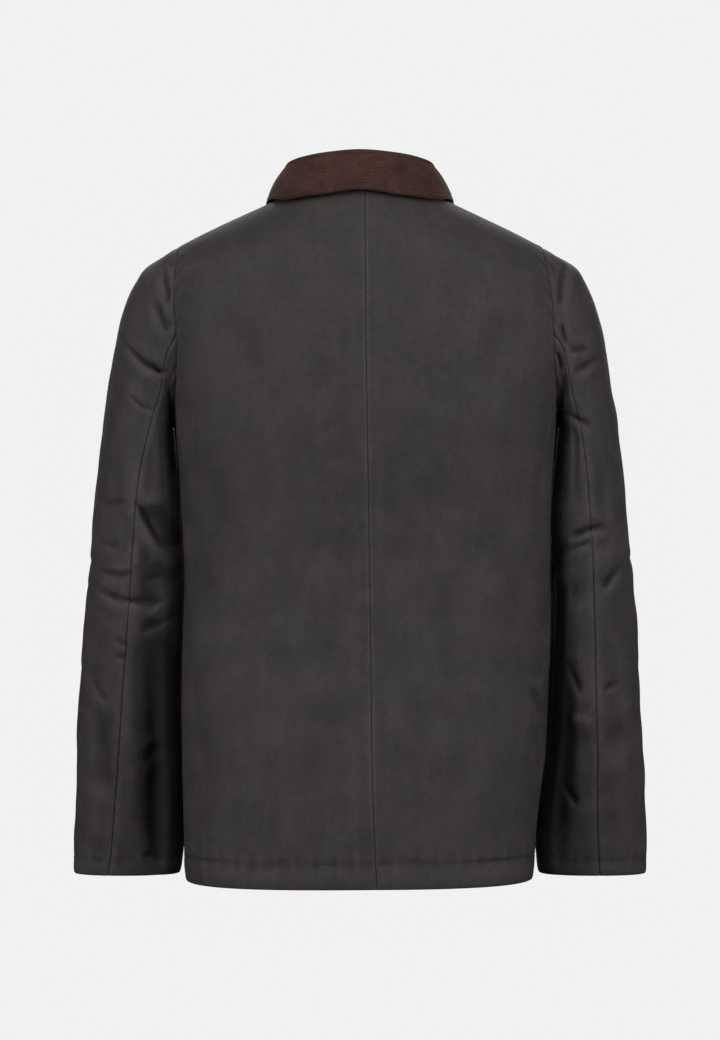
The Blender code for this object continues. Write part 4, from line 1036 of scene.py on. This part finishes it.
def waxed_cotton(name, gain=1.0, inside=False):
    """Dark waxed cloth: warm brown worn through a cooler grey, fine plain weave, soft lustre, with painted shade in its
    creases and seams.
    """
    material, tree, shader = new_material(name, 0.78, 0.22 if not inside else 0.15)
    link = tree.links.new
    place = node(tree, "ShaderNodeTexCoord")
    spot = place.outputs["Object"]
    uv = node(tree, "ShaderNodeUVMap", uv_map="cloth").outputs["UV"]
    big = noise(tree, spot, 11.0, 3.0, 0.55, 0.4)
    patch = noise(tree, spot, 34.0, 4.0, 0.6, 0.9)
    small = noise(tree, spot, 150.0, 4.0, 0.65, 0.6)
    stretched = node(tree, "ShaderNodeMapping")
    stretched.inputs["Scale"].default_value = (60.0, 60.0, 9.0)
    link(spot, stretched.inputs["Vector"])
    streak = noise(tree, stretched.outputs["Vector"], 1.0, 3.0, 0.6, 0.6)
    warm, cool = (0.0410, 0.0345, 0.0335), (0.0352, 0.0324, 0.0330)
    base = mixed(tree, spread(tree, math_node(tree, "ADD", big, math_node(tree, "MULTIPLY", patch, 0.8)), 0.72, 1.08), cool, warm)
    tone = math_node(tree, "ADD", math_node(tree, "MULTIPLY", patch, 0.38), math_node(tree, "MULTIPLY", small, 0.30))
    tone = math_node(tree, "ADD", tone, math_node(tree, "MULTIPLY", streak, 0.26))
    tone = spread(tree, tone, 0.30, 0.60, 0.80, 1.20)
    grain = noise(tree, spot, 900.0, 2.0, 0.7, 0.0)
    tone = math_node(tree, "MULTIPLY", tone, spread(tree, grain, 0.3, 0.7, 0.86, 1.14))
    proud = node(tree, "ShaderNodeAttribute", attribute_name="proud").outputs["Fac"]
    wear_and_shade = spread(tree, proud, -0.9, 0.9, 0.74, 1.2)
    # painted shade: the colour darkens where the deep attribute is low, in creases, seams and between sleeve and body
    deep = node(tree, "ShaderNodeAttribute", attribute_name="deep").outputs["Fac"]
    wear_and_shade = math_node(tree, "MULTIPLY", wear_and_shade, spread(tree, deep, -1.5, -0.1, 0.28, 1.0))
    level = math_node(tree, "MULTIPLY", math_node(tree, "MULTIPLY", tone, wear_and_shade), gain * (0.9 if inside else 1.0))
    grey = node(tree, "ShaderNodeCombineColor")
    for key in ("Red", "Green", "Blue"):
        link(level, grey.inputs[key])
    link(mixed(tree, 1.0, base, grey.outputs["Color"], "MULTIPLY"), shader.inputs["Base Color"])
    rough = math_node(tree, "ADD", spread(tree, patch, 0.3, 0.7, 0.68, 0.80), spread(tree, proud, -0.8, 0.8, 0.05, -0.05))
    if not inside:
        link(rough, shader.inputs["Roughness"])
    else:
        shader.inputs["Roughness"].default_value = 0.8
    # plain weave of about 24 ends to the centimetre, then the fine crazing of old wax
    scaled = node(tree, "ShaderNodeSeparateXYZ")
    link(uv, scaled.inputs[0])
    turn = 2 * math.pi / (0.84 * MM)
    warp = math_node(tree, "SINE", math_node(tree, "MULTIPLY", scaled.outputs[0], turn))
    weft = math_node(tree, "SINE", math_node(tree, "MULTIPLY", scaled.outputs[1], turn))
    weave = math_node(tree, "MULTIPLY", warp, weft)
    crazing = noise(tree, spot, 260.0, 4.0, 0.62, 1.6)
    normal = bumped(tree, weave, 0.35, 0.05 * MM)
    normal = bumped(tree, crazing, 0.5, 0.30 * MM, normal)
    normal = bumped(tree, noise(tree, spot, 62.0, 3.0, 0.5, 0.5), 0.45, 0.8 * MM, normal)
    link(normal, shader.inputs["Normal"])
    return material


def corduroy(name):
    """Brown needlecord: a soft pile, with painted sheen on each wale and painted shade between the wales and at the
    collar's edges.
    """
    material, tree, shader = new_material(name, 0.92, 0.12)
    link = tree.links.new
    shader.inputs["Sheen Weight"].default_value = 0.20
    shader.inputs["Sheen Roughness"].default_value = 0.45
    shader.inputs["Sheen Tint"].default_value = (0.62, 0.44, 0.36, 1)
    spot = node(tree, "ShaderNodeTexCoord").outputs["Object"]
    wale = node(tree, "ShaderNodeAttribute", attribute_name="wale").outputs["Fac"]
    patch = noise(tree, spot, 45.0, 4.0, 0.6, 0.6)
    nap = noise(tree, spot, 620.0, 3.0, 0.7, 0.0)
    tone = math_node(tree, "MULTIPLY", spread(tree, patch, 0.25, 0.75, 0.62, 1.08), spread(tree, nap, 0.25, 0.75, 0.66, 1.28))
    # painted light through the wale attribute: sheen on the wale tops, shade between them and at the collar's edges
    tone = math_node(tree, "MULTIPLY", tone, spread(tree, wale, 0.05, 0.95, 0.55, 1.22))
    grey = node(tree, "ShaderNodeCombineColor")
    for key in ("Red", "Green", "Blue"):
        link(tone, grey.inputs[key])
    link(mixed(tree, 1.0, (0.0640, 0.0300, 0.0245), grey.outputs["Color"], "MULTIPLY"), shader.inputs["Base Color"])
    link(bumped(tree, nap, 0.6, 0.25 * MM), shader.inputs["Normal"])
    return material


def plain(name, colour, roughness, specular=0.4):
    material, tree, shader = new_material(name, roughness, specular)
    shader.inputs["Base Color"].default_value = (*colour, 1)
    return material


# ------------------------------------------------------------------- pieces
def worn(obj, replaced=None):
    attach(obj, "root")
    if replaced:
        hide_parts(replaced)
    return obj


def area_of(obj):
    return sum(p.area for p in obj.data.polygons)


def cloth_pieces(outside, inside):
    """The eight waxed pieces, on their CAD forms: name -> (object, outer points, normals)."""
    made = {}
    panels = {(face, side): body_panel(face, side, FINE) for face in ("back", "front") for side in (1, -1)}
    for side, word in ((1, "left"), (-1, "right")):
        for face in ("back", "front"):
            grid = panels[face, side]
            outer, like, height, thick = body_cloth(face, side, grid, facing(grid, np.zeros(3)))
            made[f"{face}_{word}"] = shell(f"{face}_{word}_cloth", outer, like, height, thick, materials=(outside, inside))
        places = np.concatenate([np.linspace(0, 0.03, 8)[:-1], np.linspace(0.03, 1, 222)])
        ring = np.concatenate([sleeve_part(side, "top", places, SLEEVE_FINE)[:, :-1],
                               sleeve_part(side, "under", places, SLEEVE_FINE)[:, :-1]], axis=1)
        around = np.concatenate([ring[:, -1:], ring, ring[:, :1]], axis=1)
        n = np.cross(around[:, 2:] - around[:, :-2], np.gradient(ring, axis=0))
        n = unit(n)
        away = ring - ring.mean(1, keepdims=True)
        if (n * away).sum() < 0:
            n = -n
        outer, like, height, thick, at_b = sleeve_cloth(side, ring, n)
        thick = np.broadcast_to(thick, height.shape)
        for part, cols in (("top", slice(0, at_b + 1)), ("under", slice(at_b, None))):
            made[f"sleeve_{word}_{part}"] = shell(
                f"sleeve_{word}_{part}_cloth", outer[:, cols], like[:, cols], height[:, cols], thick[:, cols],
                materials=(outside, inside))
    return made, panels


WALE = 1.6 * MM


def collar_piece(panels, material):
    seam, angles = collar_seam({s: panels["front", s] for s in (1, -1)}, {s: panels["back", s] for s in (1, -1)}, FINE)
    keep = np.unique(np.concatenate([np.arange(0, len(seam), 2), [len(seam) - 1]]))
    sheet = collar_sheet(seam[keep], angles[keep], 3, 8, 12)
    places = np.concatenate([np.linspace(0, 3, 111)[:-1], np.linspace(3, 11, 41)[:-1], np.linspace(11, 23, 161)])
    sheet = resampled(sheet, np.arange(len(sheet)), places)
    rows, cols = sheet.shape[:2]
    outward = np.stack([np.sin(np.radians(angles[keep])), np.cos(np.radians(angles[keep])), 0 * keep], -1)
    normal = grid_normals(sheet, np.concatenate([np.zeros((rows, 155, 3)), np.repeat(outward[:, None], cols - 155, 1)], 1))
    across = lengths(sheet, 1)
    along = lengths(sheet, 0)
    _, to_edge, from_end, to_end = edge_distances(sheet)
    # the wales drift a little along the collar, as cut cloth does
    phase = across / WALE + 0.25 * np.sin(np.radians(angles[keep]) * 2.0)[:, None] + 0.12 * ripple(sheet, 41, 0.05)
    wale = 0.5 + 0.5 * np.cos(2 * math.pi * phase)
    ends = np.minimum(np.minimum(from_end, to_end), to_edge)
    flat = smooth((ends - 1.0 * MM) / (2.0 * MM))
    soft = 0.45 * ripple(sheet, 42, 0.08) * smooth((across - 52 * MM) / (15 * MM))
    height = 0.34 * wale * flat + soft * smooth(ends / (10 * MM))
    height += -0.35 * np.exp(-(((to_edge / MM) - 5.5) / 0.9) ** 2)
    outer = sheet + normal * (COLLAR_WALL / 2 + (height[..., None] - 0.3) * MM)
    obj, outer, like = shell("collar_cloth", outer, normal, soft, COLLAR_WALL - 0.3 * MM, materials=(material,))
    # wale attribute for the colour: painted sheen on the wale tops, painted shade between them, more near the collar's
    # ends and edges (0.25) and most on its rim faces (0.1)
    layer = obj.data.attributes.new("wale", "FLOAT", "POINT")
    edge = rim_order(rows, cols)
    w = (wale * flat + 0.25 * (1 - flat)).ravel()
    w = np.concatenate([w, w, 0.1 + 0 * w[edge], 0.1 + 0 * w[edge]])
    layer.data.foreach_set("value", w.astype(np.float32))
    return obj, outer, like


def lathe(name, profile, segments, matrix, material):
    """A turned solid from (radius, height) pairs, closed at both ends on the axis."""
    p = np.array(profile)
    angles = np.linspace(0, 2 * math.pi, segments, endpoint=False)
    ring = np.stack([p[:, None, 0] * np.cos(angles), p[:, None, 0] * np.sin(angles),
                     np.repeat(p[:, 1:2], segments, 1)], -1)
    vertices = np.concatenate([ring.reshape(-1, 3), [[0, 0, p[0, 1]], [0, 0, p[-1, 1]]]])
    quads, n = [], len(p)
    for r in range(n - 1):
        for k in range(segments):
            quads.append((r * segments + k, r * segments + (k + 1) % segments,
                          (r + 1) * segments + (k + 1) % segments, (r + 1) * segments + k))
    caps = []
    for k in range(segments):
        caps.append((n * segments, (k + 1) % segments, k))
        caps.append((n * segments + 1, (n - 1) * segments + k, (n - 1) * segments + (k + 1) % segments))
    mesh = bpy.data.meshes.new(name)
    mesh.from_pydata([tuple(matrix @ Vector(v)) for v in vertices], [], quads + caps)
    mesh.update()
    for polygon in mesh.polygons:
        polygon.use_smooth = True
    mesh.materials.append(material)
    obj = bpy.data.objects.new(name, mesh)
    bpy.context.scene.collection.objects.link(obj)
    return obj


def thread_bar(name, start, end, up, radius, material, arch=0.4 * MM):
    """A short bar of thread between two points, arched up."""
    start, end, up = np.array(start, float), np.array(end, float), np.array(up, float)
    t = np.linspace(0, 1, 9)
    centre = start + (end - start) * t[:, None] + up * (arch * 4 * t * (1 - t))[:, None]
    direction = unit(np.gradient(centre, axis=0))
    across = unit(np.cross(direction, up))
    lifted_up = np.cross(across, direction)
    angles = np.linspace(0, 2 * math.pi, 8, endpoint=False)
    ring = centre[:, None] + radius * (across[:, None] * np.cos(angles)[None, :, None]
                                       + lifted_up[:, None] * np.sin(angles)[None, :, None])
    quads = []
    for s in range(8):
        for k in range(8):
            quads.append((s * 8 + k, s * 8 + (k + 1) % 8, (s + 1) * 8 + (k + 1) % 8, (s + 1) * 8 + k))
    quads += [(0, 7, 6, 5), (0, 5, 4, 3), (0, 3, 2, 1)]
    quads += [(64, 65, 66, 67), (64, 67, 68, 69), (64, 69, 70, 71)]
    obj = mesh_of(name, ring.reshape(-1, 3), quads)
    obj.data.materials.append(material)
    return obj


def joined(name, objects):
    """Several meshes with one material as one object."""
    vertices, faces, shift = [], [], 0
    for o in objects:
        m = o.data
        co = np.zeros(len(m.vertices) * 3, np.float32)
        m.vertices.foreach_get("co", co)
        vertices.append(co.reshape(-1, 3))
        faces += [tuple(v + shift for v in p.vertices) for p in m.polygons]
        shift += len(m.vertices)
    mesh = bpy.data.meshes.new(name)
    mesh.from_pydata([tuple(map(float, v)) for v in np.concatenate(vertices)], [], faces)
    mesh.update()
    for polygon in mesh.polygons:
        polygon.use_smooth = True
    mesh.materials.append(objects[0].data.materials[0])
    made = bpy.data.objects.new(name, mesh)
    bpy.context.scene.collection.objects.link(made)
    for o in objects:
        bpy.data.objects.remove(o)
    return made


BUTTON_ROWS = (("button_1", -92), ("button_2", -219), ("button_3", -346), ("button_4", -473), ("button_5", -600))
BUTTON_R, BUTTON_THICK, HOLE_OUT = 10 * MM, 3.6 * MM, 2.2 * MM


def button_frame(z):
    """Where a button sits on the left front: a matrix with its axis outwards."""
    from mathutils import Matrix
    spots = []
    for dz in (-1 * MM, 0.0, 1 * MM):
        at = np.array([z + dz])
        y = torso("mid", at) - depth_at("front", 1, np.array([0.0]), at) - LAP_RISE
        spots.append(Vector((0, float(y[0]), z + dz)))
    rise = (spots[2] - spots[0]).normalized()
    out = Vector((1, 0, 0)).cross(rise).normalized()
    if out.y > 0:
        out = -out
    turn = Matrix((Vector((1, 0, 0)), out.cross(Vector((1, 0, 0))), out)).transposed().to_4x4()
    turn.translation = spots[1] + out * (CLOTH / 2 + 0.5 * MM + BUTTON_THICK / 2)
    return turn, out


def buttons(plastic, thread):
    """Turned buttons on their CAD nodes' places, with sewn crosses and worked buttonholes."""
    t = BUTTON_THICK / 2
    profile = [(0.0008, -t), (BUTTON_R - 1.1 * MM, -t), (BUTTON_R - 0.35 * MM, -t + 0.3 * MM), (BUTTON_R, -0.3 * MM),
               (BUTTON_R - 0.05 * MM, 0.7 * MM), (BUTTON_R - 0.5 * MM, t - 0.25 * MM), (BUTTON_R - 1.2 * MM, t),
               (BUTTON_R - 2.0 * MM, t - 0.15 * MM), (BUTTON_R - 3.0 * MM, t - 1.0 * MM), (BUTTON_R - 4.2 * MM, t - 1.3 * MM),
               (0.0008, t - 1.35 * MM)]
    bars, holes = [], []
    for name, z in BUTTON_ROWS:
        turn, out = button_frame(z * MM)
        disc = lathe(name + "_turned", profile, 48, turn, plastic)
        worn(disc, name)
        top = t - 1.3 * MM
        for k, (a, b) in enumerate((((1, 1), (-1, -1)), ((-1, 1), (1, -1)))):
            reach = HOLE_OUT / math.sqrt(2)
            for shift in (-0.3 * MM, 0.3 * MM):
                start = turn @ Vector((a[0] * reach + shift, a[1] * reach - shift * a[0] * a[1], top))
                end = turn @ Vector((b[0] * reach + shift, b[1] * reach - shift * a[0] * a[1], top))
                bars.append(thread_bar("bar", start, end, out, 0.28 * MM, thread, arch=(0.45 + 0.25 * k) * MM))
        # a worked buttonhole runs level, from just under the button's rim outwards
        middle = turn @ Vector((2.0 * MM, 0, -BUTTON_THICK / 2 - 0.25 * MM))
        sideways = np.array(turn.to_3x3() @ Vector((1, 0, 0)))
        upright = np.array(turn.to_3x3() @ Vector((0, 1, 0)))
        centre = np.array(middle)
        for row in (-1, 1):
            for k in range(27):
                x = (k - 13) * 0.92 * MM
                spot = centre + sideways * x + upright * row * 0.25 * MM
                bars.append(thread_bar("bar", spot, spot + upright * row * 1.5 * MM, out, 0.24 * MM, thread, arch=0.22 * MM))
    worn(joined("button_thread", bars))


def piece_sheets(collar):
    """The collar as cut: net area of its flat shape, as half the shell's own area."""
    print(f"SHEET collar half area {area_of(collar) / 2:.4f}")


# -------------------------------------------------------------------- stage
def stage():
    """A pale floor that curves up into a wall and a ceiling all round, far from the jacket."""
    floor, wall, curve, top, around = -4.5, 10.0, 2.0, 10.0, 48
    profile = [(0.01, floor), (wall - curve, floor)]
    profile += [(wall - curve + curve * math.sin(a), floor + curve - curve * math.cos(a))
                for a in np.linspace(0, math.pi / 2, 9)[1:]]
    profile += [(wall, top), (0.01, top)]
    vertices, faces = [], []
    for radius, z in profile:
        vertices += [(radius * math.cos(2 * math.pi * k / around), radius * math.sin(2 * math.pi * k / around), z)
                     for k in range(around)]
    for row in range(len(profile) - 1):
        for k in range(around):
            a, b = row * around + k, row * around + (k + 1) % around
            faces.append((a, b, b + around, a + around))
    mesh = bpy.data.meshes.new("studio_sweep")
    mesh.from_pydata(vertices, [], faces)
    for polygon in mesh.polygons:
        polygon.use_smooth = True
    material = bpy.data.materials.new("studio_white")
    material.use_nodes = True
    tree = material.node_tree
    tree.nodes.clear()
    out = tree.nodes.new("ShaderNodeOutputMaterial")
    glow = node(tree, "ShaderNodeEmission")
    glow.inputs["Color"].default_value = (0.879, 0.879, 0.879, 1)
    glow.inputs["Strength"].default_value = 1.0
    tree.links.new(glow.outputs[0], out.inputs["Surface"])
    mesh.materials.append(material)
    sweep_obj = bpy.data.objects.new("studio_sweep", mesh)
    bpy.context.scene.collection.objects.link(sweep_obj)
    for key in ("visible_diffuse", "visible_glossy", "visible_shadow", "visible_transmission"):
        setattr(sweep_obj, key, False)


def softbox(name, place, aim, size, power, colour=(1, 1, 1), spread_deg=180):
    light = bpy.data.lights.new(name, "AREA")
    light.shape, light.size, light.size_y = "RECTANGLE", size[0], size[1]
    light.energy, light.color = power, colour
    light.spread = math.radians(spread_deg)
    obj = bpy.data.objects.new(name, light)
    bpy.context.scene.collection.objects.link(obj)
    obj.location = place
    obj.rotation_euler = (Vector(aim) - Vector(place)).to_track_quat("-Z", "Y").to_euler()
    obj.visible_camera = False
    return obj


WORLD, SIDE, TOP, BACK, FRONT = 0.055, 60, 29, 2, 105


def lights():
    world = bpy.data.worlds.new("studio")
    bpy.context.scene.world = world
    world.use_nodes = True
    world.node_tree.nodes["Background"].inputs["Color"].default_value = (1, 1, 1, 1)
    world.node_tree.nodes["Background"].inputs["Strength"].default_value = WORLD
    aim = (0, 0, -0.35)
    for name, x in (("side_left", 2.3), ("side_right", -2.3)):
        softbox(name, (x, 2.0, 0.35), aim, (1.3, 2.2), SIDE)
    softbox("top_back", (0, 1.7, 2.3), aim, (2.4, 1.4), TOP)
    softbox("low_back", (0, 3.2, -0.5), aim, (2.0, 1.4), BACK)
    softbox("front", (0, -3.2, 1.2), aim, (3.4, 2.2), FRONT)


def camera():
    data = bpy.data.cameras.new("camera")
    data.lens, data.sensor_width, data.sensor_fit = 97.05, 36, "AUTO"
    data.clip_start, data.clip_end = 0.05, 60
    obj = bpy.data.objects.new("camera", data)
    bpy.context.scene.collection.objects.link(obj)
    obj.location = (0, CAMERA_Y, CAMERA_Z)
    obj.rotation_euler = (math.pi / 2, 0, math.pi)
    bpy.context.scene.camera = obj


def main():
    scene = bpy.context.scene
    scene.view_settings.view_transform = "Standard"
    scene.view_settings.look = "None"
    outside, inside = waxed_cotton("waxed_cotton_outside"), waxed_cotton("waxed_cotton_inside", inside=True)
    cord = corduroy("collar_needlecord")
    thread = plain("dark_thread", (0.040, 0.034, 0.033), 0.65, 0.3)
    light_thread = plain("topstitch_thread", (0.075, 0.063, 0.058), 0.6, 0.3)
    plastic = plain("button_plastic", (0.022, 0.016, 0.013), 0.32, 0.5)
    made, panels = cloth_pieces(outside, inside)
    for name, (obj, _, _) in made.items():
        worn(obj, name)
    collar, collar_outer, collar_normal = collar_piece(panels, cord)
    worn(collar, "collar")
    sewn = []
    for name, (obj, outer, normal) in made.items():
        if name.startswith(("back", "front")):
            line, up = line_at(outer, normal, "bottom", HEM_BAND, trim=3)
            sewn.append(stitches(name + "_hem_stitches", line, up, thread))
            if name.startswith("front"):
                line, up = line_at(outer, normal, "left", 6 * MM, trim=3)
                sewn.append(stitches(name + "_edge_stitches", line, up, thread))
        else:
            line, up = line_at(outer, normal, "bottom", CUFF_BAND, trim=3)
            sewn.append(stitches(name + "_cuff_stitches", line, up, thread))
    for obj in sewn:
        worn(obj)
    buttons(plastic, thread)
    piece_sheets(collar)
    stage()
    lights()
    camera()


main()
